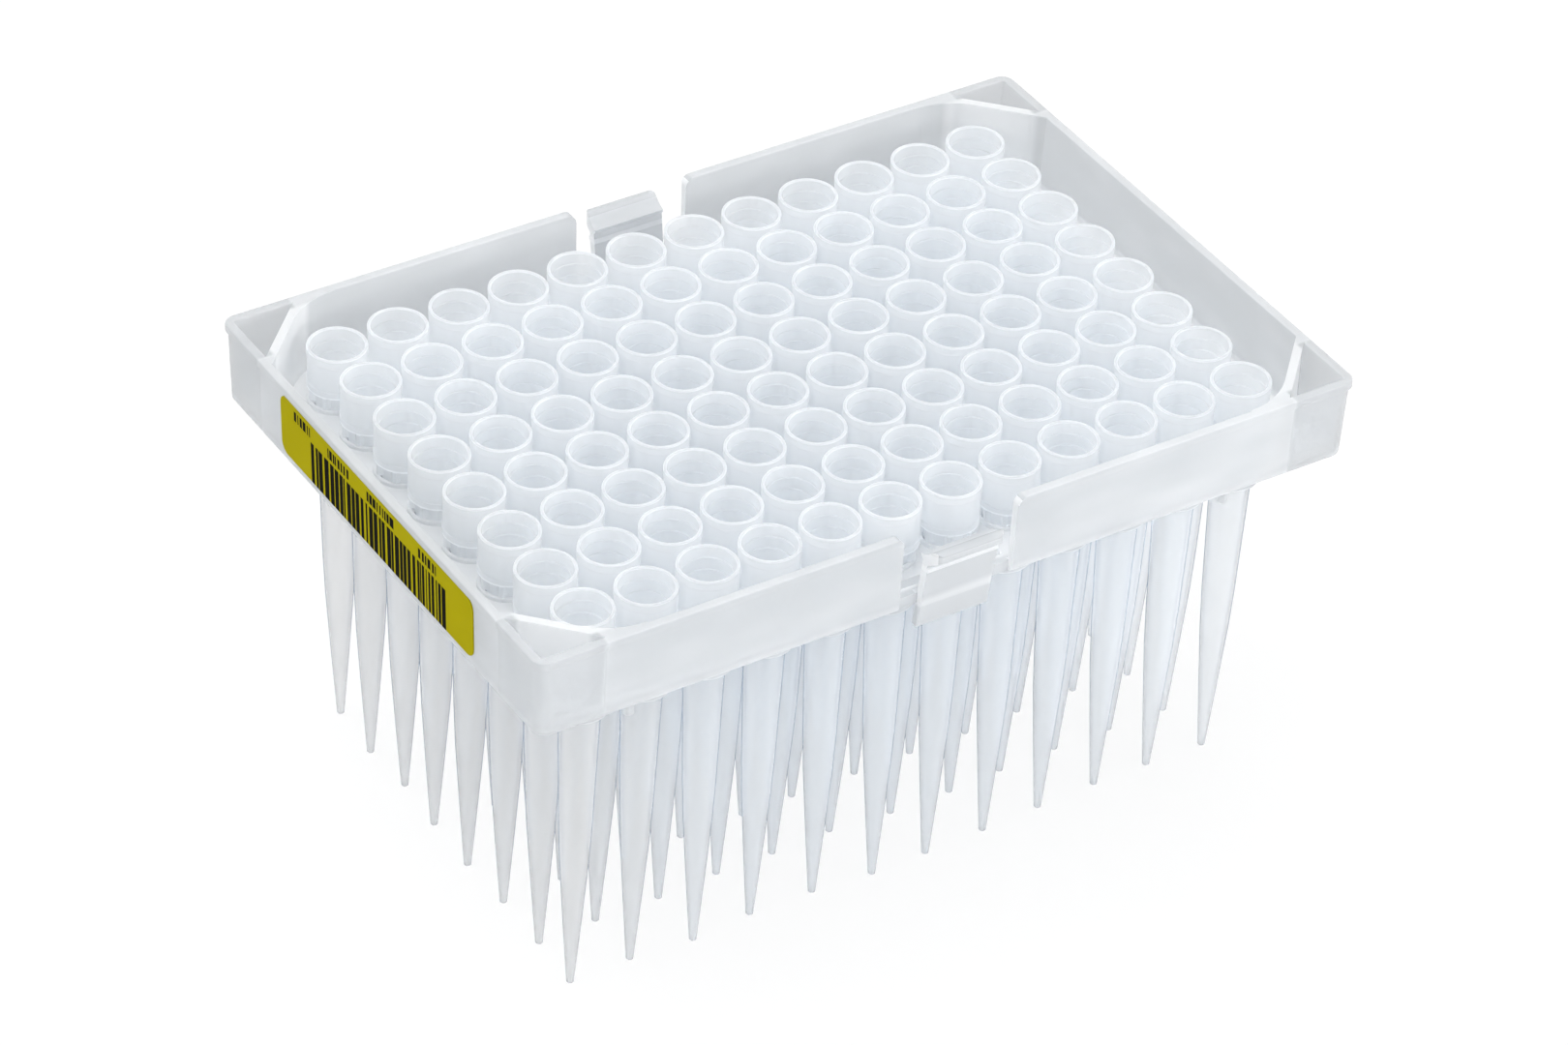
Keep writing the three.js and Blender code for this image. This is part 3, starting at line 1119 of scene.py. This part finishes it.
@dataclass
class Tray:
    """The moulding: walls with a lip, corner walls, latches, pins and a deck of sleeves."""

    places: Field
    finish: bpy.types.Material
    lathe: bpy.types.NodeTree
    low: Vector
    high: Vector
    width: float = 82.6
    height: float = 12.2
    deck_thickness: float = 1.6
    wall: float = 1.3
    lip_height: float = 1.2
    lip_step: float = 0.25
    draft: float = 0.3
    corner: float = 1.8
    base_round: float = 0.8
    rim_round: float = 0.28
    foot_fillet: float = 0.4
    well_corner: float = 0.5
    rim_corner: float = 0.3
    cut_x: float = 8.7
    cut_y: float = 9.0
    corner_wall: float = 1.2
    corner_root: float = 0.8
    flare: float = 4.5
    lip_ease: Pair = (0.02, 0.12)
    slot_width: float = 17.0
    slot_depth: float = 4.3
    slot_corner: float = 1.6
    pin_radius: float = 0.7
    pin_ease: float = 0.15
    pin_sides: int = 20
    pin_drop: float = 5.1
    pin_root: float = 0.4
    pin_x: float = 45.0
    pin_y: float = 36.0
    sleeve_radius: float = 3.9
    sleeve_bore: float = 3.3
    sleeve_drop: float = 5.3
    sleeve_ease: float = 0.2
    bore_ease: float = 0.14
    collar: float = 0.5
    sides: int = 40
    over: float = 1.0

    @property
    def rim(self) -> float:
        """Height of the rim."""
        return self.high.z

    @property
    def base(self) -> float:
        """Height of the underside."""
        return self.rim - self.height

    @property
    def deck(self) -> float:
        """Height of the deck's upper face."""
        return self.base + self.deck_thickness

    @property
    def half(self) -> Vector:
        """Half of the rim's outer size along X and Y."""
        return Vector(((self.high.x - self.low.x) / 2, self.width / 2))

    def outer(self, z: float) -> Vector:
        """Half of the outer size at a height, under the lip."""
        inset = self.lip_step + self.draft * (self.rim - z) / self.height
        return self.half - Vector((inset, inset))

    def inner(self, z: float) -> Vector:
        """Half of the well's size at a height."""
        inset = self.wall + self.draft * (self.rim - z) / self.height
        return self.half - Vector((inset, inset))

    def _ring(self, size: Vector, inset: float, radius: float, z: float) -> list[Vector]:
        """A rounded rectangle set in from a size, whose corners shrink with it."""
        return frame_ring(size.x - inset, size.y - inset, max(radius - inset, LEAST_RADIUS), z)

    def block(self) -> bpy.types.Object:
        """Outside of the tray as a full block, rounded along its foot and its rim.

        Returns:
            The block.
        """
        lip = self.rim - self.lip_height
        rings = []
        for along, up in arc((0, 0), self.base_round, -90, 0, 5):
            z = self.base + self.base_round + up
            rings.append(self._ring(self.outer(z), self.base_round - along, self.corner, z))
        low, high = self.lip_ease
        rings.append(self._ring(self.outer(lip), 0, self.corner, lip + low - high))
        rings.append(self._ring(self.half, 2 * low, self.corner, lip + low))
        rings.append(self._ring(self.half, 0, self.corner, lip + high))
        for along, up in arc((0, 0), self.rim_round, 0, 90, 4):
            z = self.rim - self.rim_round + up
            rings.append(self._ring(self.half, self.rim_round - along, self.corner, z))
        return loft_object("tray_block", rings)

    def well(self) -> bpy.types.Object:
        """The open well above the deck, filleted at its foot and eased at the rim.

        Returns:
            The well as a solid, to be cut out.
        """
        rings = []
        for along, up in arc((0, 0), self.foot_fillet, -90, 0, 3):
            z = self.deck + self.foot_fillet + up
            rings.append(self._ring(self.inner(z), self.foot_fillet - along, self.well_corner, z))
        mouth = self.inner(self.rim)
        for along, up in arc((0, 0), self.rim_round, 180, 90, 4):
            z = self.rim - self.rim_round + up
            rings.append(self._ring(mouth, -self.rim_round - along, self.rim_corner, z))
        rings.append(self._ring(mouth, -self.rim_round, self.rim_corner, self.rim + 2 * self.over))
        return loft_object("tray_well", rings)

    def slot(self) -> bpy.types.Object:
        """Cut for the latch in the +Y wall, with rounded corners at the rim.

        Returns:
            The cut as a solid.
        """
        half = self.slot_width / 2
        mouth = half + self.slot_corner
        bend = self.rim - self.slot_corner
        low = self.base - self.over
        high = self.rim + self.over
        outline = [
            (-half, low), (half, low), *arc((mouth, bend), self.slot_corner, 180, 90, 6),
            (mouth, high), (-mouth, high), *arc((-mouth, bend), self.slot_corner, 90, 0, 6),
        ]
        outer = self.half.y + self.over
        inner = self.half.y - self.slot_depth
        rings = [[Vector((x, z, -y)) for x, z in outline] for y in (outer, inner)]
        cutter = loft_object("tray_slot", rings)
        return turned(cutter, Matrix.Rotation(math.pi / 2, 4, "X"))

    def corner_walls(self) -> list[bpy.types.Object]:
        """Straight walls across the four corners, each flared into the long wall.

        Returns:
            The four walls.
        """
        inner = self.inner(self.rim)
        x, y = inner.x, inner.y
        root = self.wall / 2
        across = self.corner_wall * math.sqrt(2)
        bend = Vector((x - self.cut_x - across, y))
        radius = self.flare / math.tan(math.radians(22.5))
        fillet = arc((bend.x - self.flare, y - radius), radius, 90, 45, 6)
        outline = [
            (x + root, y - self.cut_y), (x, y - self.cut_y), (x - self.cut_x, y),
            (x - self.cut_x, y + root), (bend.x - self.flare, y + root), *fillet,
            (x, y - self.cut_y - across), (x + root, y - self.cut_y - across),
        ]
        wall = prism_object("corner_wall", outline, self.deck - self.corner_root, self.rim)
        others = [(-1, 1), (1, -1), (-1, -1)]
        return [wall, *(copied(wall, Matrix.Diagonal((*signs, 1, 1))) for signs in others)]

    def sleeve_profile(self) -> list[Pair]:
        """Outside of one sleeve and its collar.

        Returns:
            Radius and height of each point, from the foot up.
        """
        foot = self.base - self.sleeve_drop
        top = self.deck + self.collar
        ease = self.sleeve_ease
        side = self.sleeve_radius
        inner = side - ease
        return [
            (0, foot), (inner, foot), (side - 0.05, foot + 0.06), (side, foot + ease),
            (side, top - ease), (side - 0.06, top - 0.06), (inner, top), (0, top),
        ]

    def bore_profile(self) -> list[Pair]:
        """Inside of one sleeve, eased at both ends.

        Returns:
            Radius and height of each point, from the foot up.
        """
        foot = self.base - self.sleeve_drop
        top = self.deck + self.collar
        side = self.sleeve_bore
        wide = side + self.bore_ease
        return [
            (0, foot - self.over), (wide, foot - self.over), (wide, foot),
            (side, foot + self.sleeve_ease), (side, top - self.sleeve_ease),
            (wide, top), (wide, top + self.over), (0, top + self.over),
        ]

    def pins(self) -> list[bpy.types.Object]:
        """Ejector pins that hang from the deck between the outermost tips.

        Returns:
            The four pins.
        """
        foot = self.base - self.pin_drop
        levels = [
            (self.pin_radius - self.pin_ease, foot), (self.pin_radius, foot + self.pin_ease),
            (self.pin_radius, self.deck - self.pin_root),
        ]
        last = 360 - 360 / self.pin_sides
        pins = []
        for sign_x, sign_y in QUARTERS:
            middle = (sign_x * self.pin_x, sign_y * self.pin_y)
            pins.append(loft_object("tray_pin", [
                [Vector((x, y, z)) for x, y in arc(middle, radius, 0, last, self.pin_sides - 1)]
                for radius, z in levels
            ]))
        return pins

    def tree(self) -> bpy.types.NodeTree:
        """The tree that hollows the block, joins what it carries and drills the sleeves.

        Returns:
            The tree.
        """
        tree = ShapeTree("drilled_tray", {
            "Hollows": "Collection", "Joined": "Collection", "Sleeve": "Object",
            "Bore": "Object", "Sides": "Int", "Columns": "Int", "Rows": "Int",
            "Pitch": "Float", "Finish": "Material",
        })
        given = tree.given
        hollows = self._members(tree, given["Hollows"])
        joined = self._members(tree, given["Joined"])
        sleeves = self._field(tree, given["Sleeve"])
        bores = self._field(tree, given["Bore"])
        shell = self._boolean(tree, "DIFFERENCE", given["Geometry"], [hollows])
        whole = self._boolean(tree, "UNION", None, [shell, joined, sleeves])
        return tree.finish(self._boolean(tree, "DIFFERENCE", whole, [bores]))

    @staticmethod
    def _boolean(tree: ShapeTree, kind: str, first: Optional[Term], others: list[Term]) -> Term:
        """One boolean of closed solids.

        Args:
            tree: The tray's tree.
            kind: The boolean's operation.
            first: What is cut, for a difference.
            others: What cuts it, or what is joined.

        Returns:
            The result.
        """
        values: dict[Union[int, str], Any] = {"Mesh 2": others}
        if first is not None:
            values["Mesh 1"] = first
        settings = {"operation": kind, "solver": "MANIFOLD"}
        return tree.add("GeometryNodeMeshBoolean", settings, values)["Mesh"]

    @staticmethod
    def _members(tree: ShapeTree, collection: Term) -> Term:
        """A collection's solids, each by itself."""
        return tree.add("GeometryNodeCollectionInfo", {"transform_space": "ORIGINAL"}, {
            "Collection": collection, "Separate Children": True,
        })[0]

    def _field(self, tree: ShapeTree, profile: Term) -> Term:
        """A turned shape at every place of the field.

        Args:
            tree: The tray's tree.
            profile: The shape's chain of radii and heights.

        Returns:
            The shapes.
        """
        given = tree.given
        chain = tree.add("GeometryNodeObjectInfo", values={"Object": profile})["Geometry"]
        shape = tree.add("GeometryNodeGroup", {"node_tree": self.lathe}, {
            "Geometry": chain, "Sides": given["Sides"],
        })[0]
        grid = tree.add("GeometryNodeMeshGrid", values={
            "Size X": (given["Columns"] - 1) * given["Pitch"],
            "Size Y": (given["Rows"] - 1) * given["Pitch"],
            "Vertices X": given["Columns"], "Vertices Y": given["Rows"],
        })["Mesh"]
        return tree.add("GeometryNodeInstanceOnPoints", values={
            "Points": grid, "Instance": shape,
        })[0]

    def build(self) -> bpy.types.Object:
        """Makes the moulding in one piece and dresses it.

        Returns:
            The tray.
        """
        latch = Latch(self.half.y, self.rim, self.base, self.deck, self.slot_width)
        body, strip = latch.pieces()
        trim = latch.trim()
        half_turn = Matrix.Rotation(math.pi, 4, "Z")
        body = intersected(body, trim)
        joined = [body, copied(body, half_turn), strip, copied(strip, half_turn)]
        joined += self.corner_walls() + self.pins()
        slot = self.slot()
        hollows = [self.well(), slot, copied(slot, half_turn)]
        sleeve = profile_object("sleeve_profile", self.sleeve_profile())
        bore = profile_object("bore_profile", self.bore_profile())
        block = self.block()
        block.name = "clear_tray"
        kept = [gathered("tray_hollows", hollows), gathered("tray_joined", joined)]
        give(block, self.tree(), {
            "Hollows": kept[0], "Joined": kept[1], "Sleeve": sleeve, "Bore": bore,
            "Sides": self.sides, "Columns": self.places.columns, "Rows": self.places.rows,
            "Pitch": self.places.pitch * MM, "Finish": self.finish,
        })
        tray, = settled(block)
        drop(sleeve, bore, trim, *hollows, *joined)
        for collection in kept:
            bpy.data.collections.remove(collection)
        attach(tray, "root")
        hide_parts("tip_tray")
        LOG.info("tray: %d faces", len(tray.data.polygons))
        return tray


def gathered(name: str, objects: list[bpy.types.Object]) -> bpy.types.Collection:
    """Puts objects in a collection of their own, for a tree to read.

    Args:
        name: The collection's name.
        objects: What goes into it.

    Returns:
        The collection.
    """
    collection = bpy.data.collections.new(name)
    for obj in objects:
        collection.objects.link(obj)
    return collection


def intersected(first: bpy.types.Object, second: bpy.types.Object) -> bpy.types.Object:
    """What two closed solids share, under the first one's name.

    Args:
        first: The solid that is cut.
        second: The solid that it is cut to.

    Returns:
        The shared solid; the first one is gone.
    """
    cut = first.modifiers.new("trim", "BOOLEAN")
    cut.operation = "INTERSECT"
    cut.solver = "MANIFOLD"
    cut.object = second
    return settled(first)[0]


# ---- Label ----


@dataclass(frozen=True)
class PrintRow:
    """A row of bars: its size, how many bars it has and where its middle is."""

    length: float
    height: float
    bars: int
    up: float
    along: float


@dataclass
class CodeLabel:
    """The label on the short wall: rounded paper with plain bars and dashes."""

    paper: bpy.types.Material
    ink: bpy.types.Material
    low: Vector
    high: Vector
    corner: float = 1.6
    slope: float = 0.0246
    thickness: float = 0.15
    ink_rise: float = 0.012
    bar_widths: Pair = (0.25, 1.3)
    gap_share: float = 0.5
    rows: tuple[PrintRow, ...] = (
        PrintRow(35.5, 6.4, 33, -1.4, -0.85), PrintRow(4.6, 1.5, 6, 3.1, 19.0),
        PrintRow(5.8, 1.5, 8, 3.1, 9.4), PrintRow(7.2, 1.5, 9, 3.1, -1.6),
        PrintRow(5.0, 1.5, 6, 3.1, -13.8),
    )
    seed: int = 11

    def outline(self) -> list[Pair]:
        """The paper's outline in Y and Z about its middle.

        Returns:
            Its points.
        """
        y = (self.high.y - self.low.y) / 2 - self.corner
        z = (self.high.z - self.low.z) / 2 - self.corner
        points: list[Pair] = []
        for quarter, (sign_y, sign_z) in enumerate(QUARTERS):
            middle = (sign_y * y, sign_z * z)
            points += arc(middle, self.corner, 90 * quarter, 90 * quarter + 90, 6)
        return points

    def to_wall(self) -> Matrix:
        """Carries a sheet drawn in X and Y, with its face up, onto the sloping wall.

        Returns:
            The matrix.
        """
        middle = (self.low + self.high) / 2
        onto = Matrix(((0, 0, -1, 0), (-1, 0, 0, 0), (0, 1, 0, 0), (0, 0, 0, 1)))
        shear = Matrix.Identity(4)
        shear[0][2] = -self.slope
        return Matrix.Translation(middle * MM) @ shear @ onto

    def build(self) -> list[bpy.types.Object]:
        """Makes the paper and its print.

        Returns:
            The paper and the print.
        """
        half = self.thickness / 2
        sheet = turned(prism_object("label_sheet", self.outline(), -half, half), self.to_wall())
        sheet.data.materials.append(self.paper)
        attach(sheet, "root")
        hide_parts("code_label")
        LOG.info("label: %d faces", len(sheet.data.polygons))
        return [sheet, self._print()]

    def tree(self) -> bpy.types.NodeTree:
        """The tree that sets bars of chance widths side by side over a stated length.

        Returns:
            The tree.
        """
        tree = ShapeTree("code_bars", {
            "Bars": "Int", "Length": "Float", "Height": "Float", "Rise": "Float",
            "Narrow": "Float", "Wide": "Float", "Gaps": "Float", "Seed": "Int",
            "Finish": "Material",
        })
        given = tree.given
        line = tree.add("GeometryNodeMeshLine", values={"Count": given["Bars"]})["Mesh"]
        index = tree.add("GeometryNodeInputIndex")[0]
        chance = [
            tree.add("FunctionNodeRandomValue", {"data_type": "FLOAT"}, {
                2: given["Narrow"], 3: given["Wide"], "ID": index, "Seed": given["Seed"] + shift,
            })[1] for shift in (0, 1)
        ]
        bar = chance[0]
        gap = chance[1] * given["Gaps"]
        summed = tree.add("GeometryNodeAccumulateField", values={0: bar + gap})
        scale = given["Length"] / summed["Total"]
        middle = (summed["Trailing"] + bar / 2) * scale - given["Length"] / 2
        place = tree.add("ShaderNodeCombineXYZ", values={"X": middle})[0]
        spread = tree.add("GeometryNodeSetPosition", values={
            "Geometry": line, "Position": place,
        })[0]
        cube = tree.add("GeometryNodeMeshCube", values={"Size": (1.0, 1.0, 1.0)})["Mesh"]
        size = tree.add("ShaderNodeCombineXYZ", values={
            "X": bar * scale, "Y": given["Height"], "Z": given["Rise"],
        })[0]
        bars = tree.add("GeometryNodeInstanceOnPoints", values={
            "Points": spread, "Instance": cube, "Scale": size,
        })[0]
        return tree.finish(bars)

    def _print(self) -> bpy.types.Object:
        """Bars along the foot of the paper, and rows of short dashes above them.

        Returns:
            The print.
        """
        tree = self.tree()
        sources = []
        for number, row in enumerate(self.rows):
            source = new_object(f"label_print_{number}", bpy.data.meshes.new("row"))
            give(source, tree, {
                "Bars": row.bars, "Length": row.length * MM, "Height": row.height * MM,
                "Rise": self.ink_rise * MM, "Narrow": self.bar_widths[0] * MM,
                "Wide": self.bar_widths[1] * MM, "Gaps": self.gap_share,
                "Seed": self.seed + 2 * number, "Finish": self.ink,
            })
            sources.append(source)
        parts = settled(*sources)
        shape = bmesh.new()
        middle_y = (self.low.y + self.high.y) / 2
        for part, row in zip(parts, self.rows):
            place = Vector((middle_y - row.along, row.up, self.thickness / 2))
            part.data.transform(Matrix.Translation(place * MM))
            shape.from_mesh(part.data)
        drop(*parts)
        mesh = bpy.data.meshes.new("label_print")
        shape.to_mesh(mesh)
        shape.free()
        ink = turned(new_object("label_print", mesh), self.to_wall())
        ink.data.materials.append(self.ink)
        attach(ink, "root")
        return ink


# ---- Studio ----


@dataclass(frozen=True)
class Softbox:
    """A round soft light a long way off, as the part sees it."""

    towards: Vector
    spread: float
    blur: float
    strength: float

    def glow(self, tree: Wiring, direction: Term) -> Term:
        """How much light comes from a direction.

        Args:
            tree: The world's node tree.
            direction: The direction that is looked in.

        Returns:
            The strength, 0 outside the light.
        """
        aim = tree.add("ShaderNodeVectorMath", {"operation": "DOT_PRODUCT"}, {
            0: direction, 1: self.towards.normalized(),
        })["Value"]
        rim = math.cos(math.radians(self.spread + self.blur))
        core = math.cos(math.radians(self.spread - self.blur))
        return tree.ramp(aim, rim, core) * self.strength


@dataclass
class Studio:
    """Pale floor, soft light all round and the camera.

    The bounces let light through many walls of plastic, one behind another.
    """

    camera_place: Vector = Vector((-0.3464, -0.5239, 0.5134))
    camera_ahead: Vector = Vector((0.43936, 0.66340, -0.60570))
    camera_right_rise: float = 0.0391
    lens: float = 136.9
    sensor: float = 36.0
    near: float = 0.01
    all_round: float = 0.5
    floor_reach: float = 3.0
    floor_grey: float = 0.9
    floor_glow: float = 0.5
    floor_share: float = 0.85
    see_through_bounces: int = 24
    soft_bounces: int = 12
    all_bounces: int = 20
    softboxes: tuple[Softbox, ...] = (
        Softbox(Vector((-0.15, 0.3, 0.94)), 36, 8, 2.4),
        Softbox(Vector((0.45, -0.88, 0.12)), 22, 8, 4.4),
        Softbox(Vector((0.92, -0.4, 0.1)), 22, 8, 3.2),
        Softbox(Vector((-1.0, -0.2, 0.2)), 28, 8, 0.6),
        Softbox(Vector((0.6, 0.66, 0.1)), 55, 20, -0.35),
    )

    def camera(self) -> None:
        """Stands the camera and makes it the scene's own."""
        ahead = self.camera_ahead.normalized()
        level = ahead.cross(Vector((0, 0, 1))).normalized()
        upright = level.cross(ahead)
        roll = math.asin(self.camera_right_rise / upright.z)
        right = level * math.cos(roll) + upright * math.sin(roll)
        up = right.cross(ahead)
        data = bpy.data.cameras.new("camera")
        data.lens = self.lens
        data.sensor_width = self.sensor
        data.clip_start = self.near
        camera = bpy.data.objects.new("camera", data)
        turn = Matrix((right, up, -ahead)).transposed().to_4x4()
        camera.matrix_world = Matrix.Translation(self.camera_place) @ turn
        bpy.context.scene.collection.objects.link(camera)
        bpy.context.scene.camera = camera

    def world(self) -> None:
        """White to the camera, in gloss and through glass, and soft light on the object."""
        world = bpy.data.worlds.new("studio")
        bpy.context.scene.world = world
        world.use_nodes = True
        tree = Wiring(world.node_tree)
        world.node_tree.nodes.clear()
        direction = tree.add("ShaderNodeTexCoord")["Generated"]
        light = sum((box.glow(tree, direction) for box in self.softboxes), self.all_round)
        path = tree.add("ShaderNodeLightPath")
        seen = self._unveiled(path).maximum(path["Is Transmission Ray"])
        level = seen + (1 - seen) * path["Is Glossy Ray"].maximum(light)
        glow = tree.add("ShaderNodeBackground", values={"Color": WHITE, "Strength": level})
        tree.add("ShaderNodeOutputWorld", values={"Surface": glow[0]})
        world.cycles.sampling_method = "NONE"

    @staticmethod
    def _unveiled(path: Placed) -> Term:
        """1 on a ray that comes from the camera through no plastic, else 0."""
        return path["Is Camera Ray"] * (path["Transparent Depth"] < 0.5)

    def floor(self) -> None:
        """A pale floor under the tips' points, nearly white, which keeps their soft shadow."""
        mesh = bpy.data.meshes.new("floor")
        edges = [(x * self.floor_reach, y * self.floor_reach, 0) for x, y in QUARTERS]
        mesh.from_pydata(edges, [], [tuple(range(len(edges)))])
        floor = new_object("floor", mesh)
        tree = ShadeTree("pale_floor")
        path = tree.add("ShaderNodeLightPath")
        glow = self.floor_glow + self._unveiled(path) * (1 - self.floor_glow)
        white = tree.add("ShaderNodeEmission", values={"Color": WHITE, "Strength": glow})
        card = tree.add("ShaderNodeBsdfDiffuse", values={"Color": grey_blue(self.floor_grey)})
        seen = path["Is Camera Ray"].maximum(path["Is Glossy Ray"])
        share = seen * self.floor_share
        floor.data.materials.append(tree.show(tree.mix(share, card[0], white[0])))

    def build(self) -> None:
        """Sets the whole studio up."""
        self.camera()
        self.world()
        self.floor()
        scene = bpy.context.scene
        scene.view_settings.view_transform = "Standard"
        scene.cycles.transparent_max_bounces = self.see_through_bounces
        scene.cycles.diffuse_bounces = self.soft_bounces
        scene.cycles.max_bounces = self.all_bounces
        LOG.info("studio: %d softboxes", len(self.softboxes))


def main() -> None:
    """Builds the part in order and reports each piece."""
    logging.basicConfig(level=logging.INFO, format="%(name)s %(message)s")
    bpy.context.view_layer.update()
    Studio().build()
    places = Field.from_frame()
    lathe = lathe_tree()
    tray_low, tray_high = (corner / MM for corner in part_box("tip_tray"))
    tip_plastic = TipPlastic(
        name="tip_polypropylene", body=grey_blue(0.89, 0.004), bright=grey_blue(0.999, 0.029),
        through=0.7, roughness=0.16, lumps=320, streaks=Vector((1.0, 1.0, 0.05)),
        light_through=0.7, streak_depth=0.03, shade_depth=0.12, edge_shade_share=0.75,
    )
    tray_plastic = TrayPlastic(
        name="tray_polypropylene", body=grey_blue(0.71, 0.055), bright=grey_blue(0.96, 0.02),
        through=0.4, roughness=0.34, lumps=260, streaks=Vector((0.4, 0.4, 1.0)),
        light_through=0.35, rim=tray_high.z,
    )
    Tray(places, tray_plastic.material(), lathe, tray_low, tray_high).build()
    Tips(places, tip_plastic.material(), lathe).build()
    label_low, label_high = (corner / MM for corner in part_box("code_label"))
    paper = PrintedPaper("label_paper", (0.365, 0.32, 0.0005, 1), (0.325, 0.285, 0.0005, 1), 0.45)
    ink = PrintedPaper("label_ink", (0.004, 0.004, 0.002, 1), (0.007, 0.006, 0.003, 1), 0.4)
    CodeLabel(paper.material(), ink.material(), label_low, label_high).build()
    bpy.context.view_layer.update()


if __name__ == "__main__":
    main()
